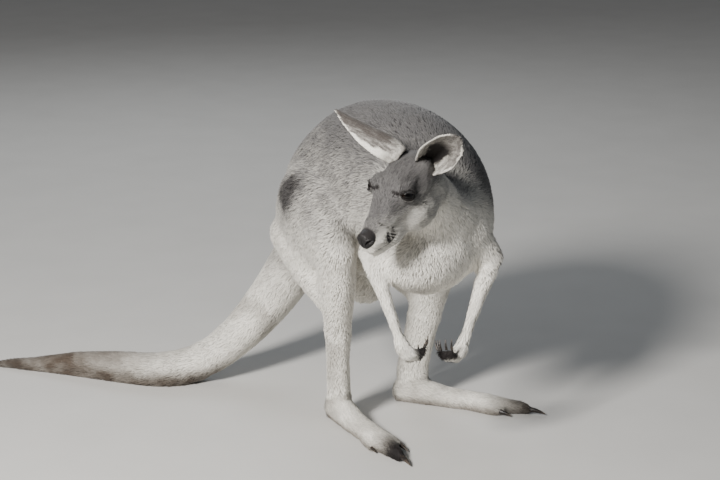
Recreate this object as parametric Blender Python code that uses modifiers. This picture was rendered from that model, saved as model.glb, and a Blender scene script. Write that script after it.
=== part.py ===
"""Grey kangaroo, a life-size still model of a grown female standing on both hind feet and her tail.

She faces -Y with her left side at +X, and turns her chest and head to her right. The body is modelled
whole as overlapping lofts, joined into one surface, and parted into named pieces by thin discs.
"""

import math

import bmesh
import bpy
from mathutils import Matrix, Vector
from mathutils.bvhtree import BVHTree

# ---------------------------------------------------------------- driving sizes, in metres

SIDES = {"right": -1, "left": 1}
SEAM = 0.0006  # width of the cuts that part the body
GAP = 0.0003  # clearance round an eye, an ear root or a claw in its socket
VOXEL = 0.0055  # grain of the surface that joins the lofts
BODY_TRIANGLES = 3360

HEAD_LENGTH = 0.215  # nose pad to the back of the skull
EYE_RADIUS = 0.0145
EAR_LENGTH = 0.158
EAR_WIDTH = 0.074
EAR_THICKNESS = 0.0036
HIND_CLAW = 0.036
FORE_CLAW = 0.020

COLOURS = {  # linear
    "claw": (0.02, 0.017, 0.015, 1),
    "eye": (0.012, 0.009, 0.008, 1),
    "tail": (0.50, 0.47, 0.42, 1),
    "shank": (0.60, 0.58, 0.54, 1),
    "foot": (0.45, 0.41, 0.36, 1),
    "arm": (0.58, 0.55, 0.50, 1),
    "hand": (0.50, 0.46, 0.41, 1),
    "coat": (0.26, 0.26, 0.28, 1),
}

# ---------------------------------------------------------------- the stance: where each joint is

TRUNK = (  # centre, half width, half height: from the tail's root to the breast
    ((0.064, 0.208, 0.398), 0.070, 0.078),
    ((0.048, 0.135, 0.455), 0.114, 0.128),
    ((0.052, 0.030, 0.508), 0.144, 0.165),
    ((0.044, -0.065, 0.520), 0.154, 0.170),
    ((0.028, -0.148, 0.506), 0.148, 0.156),
    ((0.000, -0.212, 0.472), 0.130, 0.130),
    ((-0.038, -0.262, 0.448), 0.104, 0.110),
    ((-0.070, -0.298, 0.432), 0.068, 0.076),
)
TAIL = (  # centre and half width, root to tip
    ((0.050, 0.145, 0.430), 0.086),
    ((0.083, 0.226, 0.342), 0.072),
    ((0.068, 0.287, 0.250), 0.063),
    ((0.020, 0.318, 0.172), 0.056),
    ((-0.048, 0.345, 0.104), 0.048),
    ((-0.115, 0.382, 0.055), 0.044),
    ((-0.190, 0.437, 0.037), 0.040),
    ((-0.241, 0.524, 0.0335), 0.036),
    ((-0.283, 0.616, 0.0275), 0.030),
    ((-0.330, 0.702, 0.0175), 0.020),
    ((-0.389, 0.800, 0.0080), 0.010),
)
SOFT_PARTS = {  # centre and radii of the rounded masses on the trunk
    "breast": ((-0.082, -0.276, 0.427), (0.106, 0.080, 0.076)),
    "throat": ((-0.058, -0.292, 0.497), (0.076, 0.060, 0.076)),
    "left shoulder": ((-0.007, -0.293, 0.460), (0.073, 0.062, 0.064)),
    "right shoulder": ((-0.100, -0.215, 0.462), (0.058, 0.066, 0.062)),
    "belly": ((0.045, -0.010, 0.400), (0.100, 0.145, 0.098)),
    "pouch": ((0.045, 0.030, 0.300), (0.048, 0.062, 0.072)),
    "rump": ((0.055, 0.165, 0.410), (0.100, 0.085, 0.105)),
}
HIP = {"right": (-0.046, 0.093, 0.452), "left": (0.135, 0.080, 0.450)}
KNEE = {"right": (-0.138, -0.070, 0.415), "left": (0.125, -0.125, 0.405)}
ANKLE = {"right": (-0.070, -0.004, 0.058), "left": (0.124, -0.032, 0.058)}
TOE = {"right": (-0.158, -0.306, 0.0), "left": (0.260, -0.300, 0.0)}
SHOULDER = {"right": (-0.135, -0.225, 0.470), "left": (0.002, -0.300, 0.445)}
ELBOW = {"right": (-0.186, -0.208, 0.452), "left": (0.036, -0.344, 0.424)}
WRIST = {"right": (-0.212, -0.325, 0.287), "left": (-0.0825, -0.370, 0.260)}

NOSE = Vector((-0.3080, -0.3160, 0.5130))
HEAD_FORWARD = Vector((-0.829, -0.035, -0.558)).normalized()
HEAD_LEFT = Vector((0.074, -0.996, -0.052))
NECK_ROOT = Vector((-0.026, -0.232, 0.480))


def head_frame():
    """Matrix of the head: x to her left, y backwards along the skull, z out of the crown, nose pad at 0."""
    y = -HEAD_FORWARD
    z = HEAD_LEFT.cross(y).normalized()
    x = y.cross(z).normalized()
    return Matrix.Translation(NOSE) @ Matrix((x, y, z)).transposed().to_4x4()


HEAD = head_frame()


# ---------------------------------------------------------------- modelling tools


def clear_scene():
    for obj in list(bpy.data.objects):
        bpy.data.objects.remove(obj)


def collection(name, hidden=False):
    made = bpy.data.collections.new(name)
    bpy.context.scene.collection.children.link(made)
    made.hide_render = hidden
    return made


def add_mesh(name, bm, where):
    """The bmesh as an object of that collection, with its faces pointing out."""
    bmesh.ops.recalc_face_normals(bm, faces=bm.faces)
    mesh = bpy.data.meshes.new(name)
    bm.to_mesh(mesh)
    bm.free()
    obj = bpy.data.objects.new(name, mesh)
    where.objects.link(obj)
    return obj


def spline_at(values, t):
    """Catmull-Rom value of a row of vectors at t, from 0 at the first to len - 1 at the last."""
    i = min(int(t), len(values) - 2)
    f = t - i
    p0 = values[max(i - 1, 0)]
    p1 = values[i]
    p2 = values[i + 1]
    p3 = values[min(i + 2, len(values) - 1)]
    return 0.5 * (2 * p1 + (p2 - p0) * f + (2 * p0 - 5 * p1 + 4 * p2 - p3) * f**2 + (3 * p1 - p0 - 3 * p2 + p3) * f**3)


def loft(bm, stations, up, sides=18, steps=4, cap=0.6, squareness=1.0):
    """A closed tube through (centre, half width, half height up, half height down) stations.

    up turns the sections; cap is how far each rounded end runs on, in half widths; squareness
    below 1 fills out the corners of the ellipse.
    """
    rows = [Vector((*c, a, b, d)) for c, a, b, d in stations]
    count = (len(rows) - 1) * steps
    walk = [spline_at(rows, k / steps) for k in range(count + 1)]
    rings = []
    for k, row in enumerate(walk):
        before, after = walk[max(k - 1, 0)], walk[min(k + 1, count)]
        along = (Vector(after[:3]) - Vector(before[:3])).normalized()
        across = along.cross(up).normalized()
        lift = across.cross(along)
        swells = [(0.0, 1.0)]
        if k in (0, count):
            sign = -1 if k == 0 else 1
            ends = [(sign * cap * math.sin(a), math.cos(a)) for a in (0.5, 1.0, 1.35)]
            swells = ends[::-1] + swells if k == 0 else swells + ends
        for push, scale in swells:
            centre = Vector(row[:3]) + along * push * row[3]
            ring = []
            for j in range(sides):
                angle = 2 * math.pi * j / sides
                c, s = math.cos(angle), math.sin(angle)
                c = math.copysign(abs(c) ** squareness, c)
                s = math.copysign(abs(s) ** squareness, s)
                high = row[4] if s > 0 else row[5]
                ring.append(bm.verts.new(centre + scale * (across * c * row[3] + lift * s * high)))
            rings.append(ring)
    for low, high in zip(rings, rings[1:]):
        for j in range(sides):
            n = (j + 1) % sides
            bm.faces.new((low[j], low[n], high[n], high[j]))
    bm.faces.new(rings[0][::-1])
    bm.faces.new(rings[-1])


def ball(bm, centre, radii, matrix=None):
    """An ellipsoid, in the head's frame or the world's."""
    place = (matrix or Matrix()) @ Matrix.Translation(centre) @ Matrix.Diagonal((*radii, 1))
    bmesh.ops.create_uvsphere(bm, u_segments=20, v_segments=12, radius=1, matrix=place)


def evenly(stations):
    """Stations whose sections are as high as they are low."""
    return [(c, a, b, b) for c, a, b in stations]


def mixed(a, b, t):
    return Vector(a).lerp(Vector(b), t)


# ---------------------------------------------------------------- trunk, neck and tail


def trunk(bm, grow=0.0):
    stations = [(c, a + grow, b + grow) for c, a, b in TRUNK]
    loft(bm, evenly(stations), Vector((0, 0, 1)), sides=28, cap=0.7)


def soft_parts(bm, grow=0.0):
    for centre, radii in SOFT_PARTS.values():
        ball(bm, centre, [r + grow for r in radii])


def tail(bm):
    stations = [(c, a, a * 0.96, a * 0.96) for c, a in TAIL]
    loft(bm, stations, Vector((0.2, 0.1, 1)), sides=20, steps=5, cap=1.0)


def neck_line():
    """The neck's root, middle and top."""
    top = HEAD @ Vector((0, HEAD_LENGTH * 0.84, -0.004))
    return NECK_ROOT, mixed(NECK_ROOT, top, 0.55) + Vector((0.006, -0.006, -0.014)), top


def neck(bm):
    root, middle, top = neck_line()
    loft(
        bm,
        evenly([(root, 0.100, 0.108), (middle, 0.068, 0.074), (top, 0.048, 0.052)]),
        Vector((0.3, 1, 0)),
        sides=20,
    )


# ---------------------------------------------------------------- head

SKULL = (  # back from the nose pad, height of the axis, half width, height above and below the axis
    (0.002, -0.003, 0.0175, 0.0140, 0.0230),
    (0.014, -0.007, 0.0235, 0.0190, 0.0340),
    (0.036, -0.008, 0.0265, 0.0240, 0.0400),
    (0.066, -0.005, 0.0320, 0.0310, 0.0480),
    (0.096, -0.001, 0.0410, 0.0420, 0.0570),
    (0.126, 0.001, 0.0480, 0.0495, 0.0640),
    (0.156, 0.002, 0.0510, 0.0510, 0.0670),
    (0.186, 0.001, 0.0480, 0.0480, 0.0610),
    (0.208, 0.000, 0.0380, 0.0380, 0.0480),
)
EYE_AT = Vector((0.0390, 0.111, 0.0270))
EAR_AT = Vector((0.0310, 0.178, 0.0270))


def head(bm):
    stations = [(HEAD @ Vector((0, y, z)), a, b, d) for y, z, a, b, d in SKULL]
    loft(bm, stations, HEAD.to_3x3() @ Vector((0, 0, 1)), sides=24, cap=0.5, squareness=0.9)
    for side in SIDES.values():
        # cheek, brow, lip beside the nose, and the swelling that carries the ear
        ball(bm, (side * 0.031, 0.132, -0.036), (0.031, 0.050, 0.040), HEAD)
        ball(bm, (side * 0.0350, 0.117, 0.0385), (0.0155, 0.026, 0.0115), HEAD)
        ball(bm, (side * 0.0125, 0.026, -0.014), (0.0160, 0.026, 0.0200), HEAD)
        ball(bm, (side * 0.029, 0.180, 0.024), (0.021, 0.023, 0.022), HEAD)
        ball(bm, (side * 0.014, 0.068, -0.040), (0.019, 0.046, 0.021), HEAD)
    # chin and the bare nose pad
    ball(bm, (0, 0.024, -0.0405), (0.0170, 0.025, 0.0190), HEAD)
    ball(bm, (0, 0.006, 0.0005), (0.0205, 0.0130, 0.0165), HEAD)


# ---------------------------------------------------------------- legs


def ankle_to_toe(name):
    """The way a hind foot points, level with the floor."""
    heading = Vector(TOE[name]) - Vector(ANKLE[name])
    return Vector((heading.x, heading.y, 0)).normalized()


def leg(bm, name):
    hip, knee, ankle = (Vector(p[name]) for p in (HIP, KNEE, ANKLE))
    front = (knee - hip).normalized()
    lift = (hip - ankle).normalized()
    # thigh: a deep, flat muscle from the rump to the knee
    thigh = [
        (hip + Vector((0, 0.040, 0.010)), 0.062, 0.100, 0.100),
        (mixed(hip, knee, 0.30), 0.074, 0.108, 0.116),
        (mixed(hip, knee, 0.68), 0.060, 0.082, 0.092),
        (knee, 0.042, 0.050, 0.058),
    ]
    loft(bm, thigh, lift, sides=20, cap=0.5)
    # ham: the muscle web behind, from the seat to the middle of the shank
    seat = hip + Vector((0.002, 0.064, -0.058))
    ham = [
        (seat, 0.060, 0.072, 0.072),
        (mixed(seat, mixed(knee, ankle, 0.45), 0.45), 0.050, 0.064, 0.064),
        (mixed(knee, ankle, 0.40), 0.031, 0.042, 0.042),
    ]
    loft(bm, ham, front, sides=18, cap=0.5)
    # flesh that fills the leg between the two
    ball(bm, mixed(mixed(hip, knee, 0.6), mixed(seat, ham[-1][0], 0.5), 0.5), (0.048, 0.085, 0.072))
    # shank: calf at the top, then bone and tendon down to the hock
    shank = [
        (knee, 0.040, 0.048, 0.048),
        (mixed(knee, ankle, 0.22), 0.038, 0.050, 0.050),
        (mixed(knee, ankle, 0.45), 0.030, 0.042, 0.042),
        (mixed(knee, ankle, 0.70), 0.0225, 0.037, 0.037),
        (mixed(knee, ankle, 0.92), 0.0230, 0.038, 0.037),
        (ankle + Vector((0, 0, -0.012)), 0.0250, 0.034, 0.032),
    ]
    loft(bm, shank, ankle_to_toe(name), sides=18)


def foot_frame(name):
    """Matrix of a hind foot on the floor: y forward from the heel, x to her left, z up."""
    heel = Vector((ANKLE[name][0], ANKLE[name][1], 0))
    y = ankle_to_toe(name)
    x = y.cross(Vector((0, 0, 1))).normalized()
    return Matrix.Translation(heel) @ Matrix((x, y, Vector((0, 0, 1)))).transposed().to_4x4()


FOOT = (  # forward of the ankle, height of the centre, half width, half height; the sole dips under 0
    (-0.030, 0.0215, 0.0200, 0.0225),
    (0.020, 0.028, 0.0260, 0.0290),
    (0.080, 0.0205, 0.0255, 0.0220),
    (0.150, 0.0180, 0.0260, 0.0200),
    (0.195, 0.0155, 0.0250, 0.0175),
    (0.235, 0.0140, 0.0175, 0.0160),
    (0.264, 0.0125, 0.0125, 0.0140),
)
TOES = {  # each toe from the sole's frame: outward, forward, height, radius; the last is its claw's root
    "long": ((0.000, 0.200, 0.0140, 0.0160), (0.001, 0.240, 0.0125, 0.0140), (0.001, 0.270, 0.0110, 0.0110)),
    "outer": ((0.016, 0.150, 0.0150, 0.0145), (0.027, 0.186, 0.0125, 0.0125), (0.031, 0.212, 0.0105, 0.0095)),
    "inner": ((-0.016, 0.140, 0.0150, 0.0125), (-0.024, 0.172, 0.0120, 0.0100), (-0.026, 0.192, 0.0100, 0.0080)),
}


def toe_points(name, toe):
    """Centres and radii along a toe, in the world."""
    frame = foot_frame(name)
    return [(frame @ Vector((SIDES[name] * x, y, z)), r) for x, y, z, r in TOES[toe]]


def foot(bm, name):
    frame = foot_frame(name)
    stations = [(frame @ Vector((0, y, z)), a, b, b) for y, z, a, b in FOOT]
    loft(bm, stations, Vector((0, 0, 1)), sides=18, cap=0.6, squareness=0.9)
    for toe in TOES:
        loft(bm, [(c, r, r, r) for c, r in toe_points(name, toe)], Vector((0, 0, 1)), sides=12)


# ---------------------------------------------------------------- arms


def arm(bm, name):
    shoulder, elbow, wrist = (Vector(p[name]) for p in (SHOULDER, ELBOW, WRIST))
    upper = [
        (shoulder, 0.050, 0.058, 0.058),
        (mixed(shoulder, elbow, 0.55), 0.040, 0.044, 0.044),
        (elbow, 0.0225, 0.0250, 0.0250),
    ]
    loft(bm, upper, Vector((0, 0, 1)), sides=16)
    lower = [
        (elbow, 0.0225, 0.0245, 0.0245),
        (mixed(elbow, wrist, 0.25), 0.0190, 0.0215, 0.0215),
        (mixed(elbow, wrist, 0.60), 0.0135, 0.0155, 0.0155),
        (mixed(elbow, wrist, 0.92), 0.0115, 0.0135, 0.0135),
        (wrist, 0.0120, 0.0145, 0.0145),
    ]
    loft(bm, lower, Vector((0, 1, 0.2)), sides=16)


def hand_frame(name):
    """Matrix of a hand: y out of the wrist along the forearm, x across the knuckles, z towards the palm."""
    elbow, wrist = Vector(ELBOW[name]), Vector(WRIST[name])
    other = Vector(WRIST["left" if name == "right" else "right"])
    y = (wrist - elbow).normalized()
    inward = (other - wrist).normalized()
    z = (inward - y * inward.dot(y)).normalized()
    x = y.cross(z).normalized()
    return Matrix.Translation(wrist) @ Matrix((x, y, z)).transposed().to_4x4()


FINGERS = 5
FINGER_SPREAD = 0.0078  # between neighbouring fingers at the knuckles
FINGER_RADIUS = 0.0062
CURL = (  # a finger's bends seen from its side: out along the wrist and towards the palm
    (0.020, 0.004),
    (0.034, 0.016),
    (0.036, 0.032),
    (0.026, 0.042),
)


def finger_points(name, index):
    """The finger's centre line, from inside the palm to where its claw starts."""
    frame = hand_frame(name)
    across = (index - (FINGERS - 1) / 2) * FINGER_SPREAD
    reach = 1 - 0.09 * abs(index - (FINGERS - 1) / 2)
    return [frame @ Vector((across * (1 + 0.25 * k), y * reach, z * reach)) for k, (y, z) in enumerate(CURL)]


def hand(bm, name):
    frame = hand_frame(name)
    palm = [
        (frame @ Vector((0, -0.012, 0)), 0.0135, 0.0150, 0.0150),
        (frame @ Vector((0, 0.010, 0.001)), 0.0180, 0.0155, 0.0150),
        (frame @ Vector((0, 0.027, 0.008)), 0.0215, 0.0130, 0.0130),
    ]
    loft(bm, palm, frame.to_3x3() @ Vector((0, 0, 1)), sides=16, cap=0.4)
    for index in range(FINGERS):
        points = finger_points(name, index)
        stations = [(p, FINGER_RADIUS, FINGER_RADIUS, FINGER_RADIUS) for p in points]
        loft(bm, stations, frame.to_3x3() @ Vector((1, 0, 0)), sides=10, cap=0.6)


# ---------------------------------------------------------------- ears, eyes and claws

EAR_FORM = (  # share of the length, share of the width, half angle of the roll in degrees, thickening
    (0.00, 0.56, 122, 1.9),
    (0.14, 0.76, 108, 1.5),
    (0.32, 0.96, 86, 1.1),
    (0.50, 0.94, 70, 1.0),
    (0.68, 0.76, 58, 0.9),
    (0.84, 0.47, 46, 0.85),
    (0.95, 0.22, 38, 0.8),
    (1.00, 0.09, 32, 0.7),
)
EAR_AIM = {"right": (-0.815, 0.02, 0.545), "left": (0.75, 0.05, 0.66)}  # in the head's frame
EAR_OPENING = {"right": (-0.443, -0.57, -0.664), "left": (0.22, -0.97, 0.05)}
EAR_COLUMNS = 9


def ear(name, where):
    """A rolled leaf of skin: an outer and an inner sheet that meet along the rim."""
    turn = HEAD.to_3x3()
    aim = (turn @ Vector(EAR_AIM[name])).normalized()
    opening = turn @ Vector(EAR_OPENING[name])
    opening = (opening - aim * opening.dot(aim)).normalized()
    across = aim.cross(opening)
    root = HEAD @ Vector((SIDES[name] * EAR_AT.x, EAR_AT.y, EAR_AT.z))
    bm = bmesh.new()
    sheets = []
    for sign in (1, -1):
        rows = []
        for share, width, degrees, thick in EAR_FORM:
            half = math.radians(degrees)
            radius = EAR_WIDTH / 2 * width / math.sin(min(half, math.pi / 2))
            # the leaf leans back a little towards its tip
            centre = root + aim * EAR_LENGTH * share - opening * 0.016 * share**2
            row = []
            for j in range(EAR_COLUMNS):
                angle = half * (2 * j / (EAR_COLUMNS - 1) - 1)
                edge = 1 - abs(2 * j / (EAR_COLUMNS - 1) - 1) ** 4
                reach = radius + sign * EAR_THICKNESS * thick * (0.28 + 0.22 * edge)
                point = across * math.sin(angle) * reach
                point -= opening * (reach * math.cos(angle) - radius * math.cos(half))
                row.append(bm.verts.new(centre + point))
            rows.append(row)
        sheets.append(rows)
    outer, inner = sheets
    last, count = EAR_COLUMNS - 1, len(EAR_FORM)
    for k in range(count - 1):
        for j in range(last):
            bm.faces.new((outer[k][j], outer[k][j + 1], outer[k + 1][j + 1], outer[k + 1][j]))
            bm.faces.new((inner[k][j], inner[k + 1][j], inner[k + 1][j + 1], inner[k][j + 1]))
        for j in (0, last):
            bm.faces.new((outer[k][j], outer[k + 1][j], inner[k + 1][j], inner[k][j]))
    for k in (0, count - 1):
        for j in range(last):
            bm.faces.new((outer[k][j], outer[k][j + 1], inner[k][j + 1], inner[k][j]))
    return add_mesh("ear_" + name, bm, where)


def eye(name, where, radius, label):
    bm = bmesh.new()
    centre = Vector((SIDES[name] * EYE_AT.x, EYE_AT.y, EYE_AT.z))
    turn = Matrix.Rotation(math.radians(90), 4, "Y")
    place = HEAD @ Matrix.Translation(centre) @ turn
    bmesh.ops.create_uvsphere(bm, u_segments=16, v_segments=8, radius=radius, matrix=place)
    return add_mesh(label + name, bm, where)


def claw(label, root, along, droop, length, radius, where, sides=8):
    """A horn from its root along one way and bent towards another, flatter than it is wide."""
    bm = bmesh.new()
    side = along.cross(droop).normalized()
    bend = side.cross(along).normalized()
    rings = []
    for share, size in ((-0.25, 0.80), (0.0, 1.0), (0.35, 0.82), (0.7, 0.50), (0.95, 0.16)):
        centre = root + along * length * share + bend * length * 0.30 * max(share, 0) ** 2
        ring = []
        for j in range(sides):
            angle = 2 * math.pi * j / sides
            ring.append(bm.verts.new(centre + radius * size * (side * math.cos(angle) * 0.85 + bend * math.sin(angle))))
        rings.append(ring)
    for low, high in zip(rings, rings[1:]):
        for j in range(sides):
            n = (j + 1) % sides
            bm.faces.new((low[j], low[n], high[n], high[j]))
    bm.faces.new(rings[0][::-1])
    bm.faces.new(rings[-1])
    return add_mesh(label, bm, where)


def claws(where):
    made = []
    down = Vector((0, 0, -1))
    for name in SIDES:
        for toe in TOES:
            (near, _), (root, radius) = toe_points(name, toe)[-2:]
            along = (root - near).normalized()
            along.z = 0.10 if toe == "long" else 0.05
            length = HIND_CLAW * {"long": 1.0, "outer": 0.72, "inner": 0.55}[toe]
            start = root + along.normalized() * radius * 0.2
            made.append(claw(f"claw_{toe}_toe_{name}", start, along.normalized(), down, length, radius * 0.62, where))
        frame = hand_frame(name)
        back = -(frame.to_3x3() @ Vector((0, 1, 0)))
        for index in range(FINGERS):
            points = finger_points(name, index)
            along = (points[-1] - points[-2]).normalized()
            start = points[-1] + along * FINGER_RADIUS * 0.2
            made.append(claw(f"claw_finger_{index + 1}_{name}", start, along, back, FORE_CLAW, 0.0032, where, 6))
    return made


# ---------------------------------------------------------------- the whole body, joined and parted


def whole_body(where):
    bm = bmesh.new()
    trunk(bm)
    soft_parts(bm)
    tail(bm)
    neck(bm)
    head(bm)
    for name in SIDES:
        leg(bm, name)
        foot(bm, name)
        arm(bm, name)
        hand(bm, name)
    body = add_mesh("body", bm, where)
    joined = body.modifiers.new("join", "REMESH")
    joined.mode = "VOXEL"
    joined.voxel_size = VOXEL
    smoothed = body.modifiers.new("ease", "SMOOTH")
    smoothed.factor = 0.5
    smoothed.iterations = 11
    settle(body)
    thinned = body.modifiers.new("thin", "DECIMATE")
    thinned.ratio = BODY_TRIANGLES / triangles(body)
    settle(body)
    return body


def triangles(obj):
    return sum(len(p.vertices) - 2 for p in obj.data.polygons)


def settle(obj):
    """Apply the modifiers of an object."""
    shown = obj.evaluated_get(bpy.context.evaluated_depsgraph_get())
    mesh = bpy.data.meshes.new_from_object(shown)
    obj.modifiers.clear()
    obj.data = mesh


def carve(obj, cutter):
    """Take the cutter, or every cutter of a collection, out of the object."""
    cut = obj.modifiers.new("cut", "BOOLEAN")
    cut.operation = "DIFFERENCE"
    cut.solver = "EXACT"
    if isinstance(cutter, bpy.types.Collection):
        cut.operand_type = "COLLECTION"
        cut.collection = cutter
    else:
        cut.object = cutter
    settle(obj)


def hide(cutter):
    cutter.hide_render = True
    cutter.display_type = "WIRE"
    return cutter


def disc(label, centre, normal, radius, where):
    """A thin round blade."""
    bm = bmesh.new()
    turn = Vector(normal).to_track_quat("Z", "Y").to_matrix().to_4x4()
    place = Matrix.Translation(centre) @ turn
    bmesh.ops.create_cone(
        bm, cap_ends=True, segments=24, radius1=radius, radius2=radius, depth=SEAM, matrix=place
    )
    return hide(add_mesh(label, bm, where))


def trunk_shell(where):
    """A thin shell just outside the trunk, which frees what grows from it."""
    bm = bmesh.new()
    trunk(bm, 0.005)
    soft_parts(bm, 0.005)
    shell = add_mesh("blade_trunk", bm, where)
    joined = shell.modifiers.new("join", "REMESH")
    joined.mode = "VOXEL"
    joined.voxel_size = 0.008
    smoothed = shell.modifiers.new("ease", "SMOOTH")
    smoothed.iterations = 4
    settle(shell)
    thinned = shell.modifiers.new("thin", "DECIMATE")
    thinned.ratio = 380 / triangles(shell)
    walls = shell.modifiers.new("walls", "SOLIDIFY")
    walls.thickness = SEAM
    walls.offset = 0
    settle(shell)
    return hide(shell)


def blades(where):
    """Every blade that parts the body, in the order they are used."""
    made = []
    for k, label, radius in ((1, "tail_root", 0.100), (3, "tail_bend", 0.085), (5, "tail_floor", 0.07), (8, "tail_end", 0.05)):
        along = Vector(TAIL[k + 1][0]) - Vector(TAIL[k - 1][0])
        made.append(disc("blade_" + label, Vector(TAIL[k][0]), along, radius, where))
    root, middle, top = neck_line()
    made.append(disc("blade_head", mixed(middle, top, 0.60), top - middle, 0.130, where))
    shoulder, elbow = Vector(SHOULDER["right"]), Vector(ELBOW["right"])
    made.append(disc("blade_shoulder", mixed(shoulder, elbow, 0.72), elbow - shoulder, 0.050, where))
    for name in SIDES:
        knee, ankle = Vector(KNEE[name]), Vector(ANKLE[name])
        elbow, wrist = Vector(ELBOW[name]), Vector(WRIST[name])
        heading = ankle_to_toe(name)
        made.append(disc("blade_knee_" + name, mixed(knee, ankle, 0.54), ankle - knee, 0.068, where))
        made.append(disc("blade_ankle_" + name, ankle + Vector((0, 0, 0.004)), Vector((0, 0, 1)) - heading * 0.5, 0.056, where))
        made.append(disc("blade_elbow_" + name, mixed(elbow, wrist, 0.26), wrist - elbow, 0.034, where))
        made.append(disc("blade_wrist_" + name, wrist, wrist - elbow, 0.022, where))
    return made


def label_points():
    """A point inside each piece of the body."""
    tail_at = [Vector(c) for c, _ in TAIL]
    root, middle, top = neck_line()
    points = {
        "trunk": Vector(TRUNK[3][0]),
        "head": HEAD @ Vector((0, 0.10, -0.002)),
        "neck": middle,
        "tail_root": tail_at[2],
        "tail_bend": tail_at[4],
        "tail_floor": tail_at[6],
        "tail_end": tail_at[9],
    }
    for name in SIDES:
        knee, ankle = Vector(KNEE[name]), Vector(ANKLE[name])
        shoulder, elbow, wrist = Vector(SHOULDER[name]), Vector(ELBOW[name]), Vector(WRIST[name])
        points["thigh_" + name] = mixed(knee, ankle, 0.30)
        points["shank_" + name] = mixed(knee, ankle, 0.75)
        points["foot_" + name] = foot_frame(name) @ Vector((0, 0.10, 0.018))
        points["upper_arm_" + name] = mixed(shoulder, elbow, 0.98)
        points["forearm_" + name] = mixed(elbow, wrist, 0.55)
        points["hand_" + name] = hand_frame(name) @ Vector((0, 0.014, 0.002))
    return points


def islands(obj):
    """Every loose piece of the object, as a mesh of its own."""
    whole = bmesh.new()
    whole.from_mesh(obj.data)
    bmesh.ops.triangulate(whole, faces=whole.faces)
    whole.faces.ensure_lookup_table()
    done = set()
    pieces = []
    for first in whole.faces:
        if first in done:
            continue
        group, front = [], [first]
        done.add(first)
        while front:
            face = front.pop()
            group.append(face)
            for edge in face.edges:
                if len(edge.link_faces) == 2:
                    for other in edge.link_faces:
                        if other not in done:
                            done.add(other)
                            front.append(other)
        piece = bmesh.new()
        made = {}
        for face in sorted(group, key=lambda f: f.index):
            for vert in face.verts:
                if vert not in made:
                    made[vert] = piece.verts.new(vert.co)
            piece.faces.new([made[v] for v in face.verts])
        pieces.append(piece)
    whole.free()
    return pieces


def holds(tree, point):
    """Whether a closed surface holds the point."""
    way, crossings, start = Vector((0.31, 0.77, 0.56)).normalized(), 0, Vector(point)
    while crossings < 60:
        hit, _, _, _ = tree.ray_cast(start, way)
        if hit is None:
            break
        crossings += 1
        start = hit + way * 1e-5
    return crossings % 2 == 1


def part_body(body, where):
    """Split the cut body into its named pieces; slivers under 50 ml are dropped."""
    points = label_points()
    spare = []
    for piece in islands(body):
        tree = BVHTree.FromBMesh(piece)
        inside = [label for label in points if holds(tree, points[label])]
        if inside:
            add_mesh(inside[0], piece, where)
            del points[inside[0]]
        elif piece.calc_volume() > 5e-5:
            spare.append(piece)
        else:
            piece.free()
    # a ring has no middle: it takes the nearest name that is left
    for piece in spare:
        middle = Vector([sum(v.co[axis] for v in piece.verts) / len(piece.verts) for axis in range(3)])
        name = min(points, key=lambda label: (points[label] - middle).length)
        add_mesh(name, piece, where)
        del points[name]
    bpy.data.objects.remove(body)


def paint(obj):
    """The node's own plain material."""
    kind = next((k for k in COLOURS if k in obj.name), "coat")
    material = bpy.data.materials.new(obj.name)
    material.use_nodes = True
    surface = material.node_tree.nodes["Principled BSDF"]
    surface.inputs["Base Color"].default_value = COLOURS[kind]
    surface.inputs["Roughness"].default_value = 0.15 if kind == "eye" else 0.8
    obj.data.materials.clear()
    obj.data.materials.append(material)


def stand_at_origin(objects):
    """Put the middle of the animal's footprint over the origin, and her soles at 0."""
    points = [v.co for obj in objects for v in obj.data.vertices]
    low = [min(p[axis] for p in points) for axis in range(3)]
    high = [max(p[axis] for p in points) for axis in range(3)]
    shift = Vector((-(low[0] + high[0]) / 2, -(low[1] + high[1]) / 2, -low[2]))
    for obj in objects:
        obj.data.transform(Matrix.Translation(shift))
    print("size", [round(b - a, 4) for a, b in zip(low, high)], "shift", [round(x, 5) for x in shift])


clear_scene()
animal = collection("kangaroo")
cutters = collection("cutters", hidden=True)

body = whole_body(animal)
floor = bmesh.new()
bmesh.ops.create_cube(floor, size=1, matrix=Matrix.Translation((0, 0.2, -0.05)) @ Matrix.Diagonal((2, 2, 0.1, 1)))
carve(body, hide(add_mesh("blade_floor", floor, cutters)))

clearance = hide(add_mesh("clearance", bmesh.new(), cutters))
clearance.data = body.data.copy()
grown = clearance.modifiers.new("grow", "DISPLACE")
grown.strength = GAP * 1.6
grown.mid_level = 0
settle(clearance)

for side in SIDES:
    eye(side, animal, EYE_RADIUS, "eye_")
    carve(body, hide(eye(side, cutters, EYE_RADIUS + GAP, "socket_")))
    carve(ear(side, animal), clearance)
for horn in claws(animal):
    carve(horn, clearance)
for blade in blades(cutters):
    carve(body, blade)
carve(body, trunk_shell(cutters))
part_body(body, animal)

for obj in animal.objects:
    paint(obj)
stand_at_origin(animal.objects)
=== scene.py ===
"""Grey kangaroo as a museum shows it: one hide over a carved form, glass eyes, horn claws, a short coat."""

import math

import bmesh
import bpy
import numpy as np
from mathutils import Matrix, Vector
from mathutils.bvhtree import BVHTree


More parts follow.
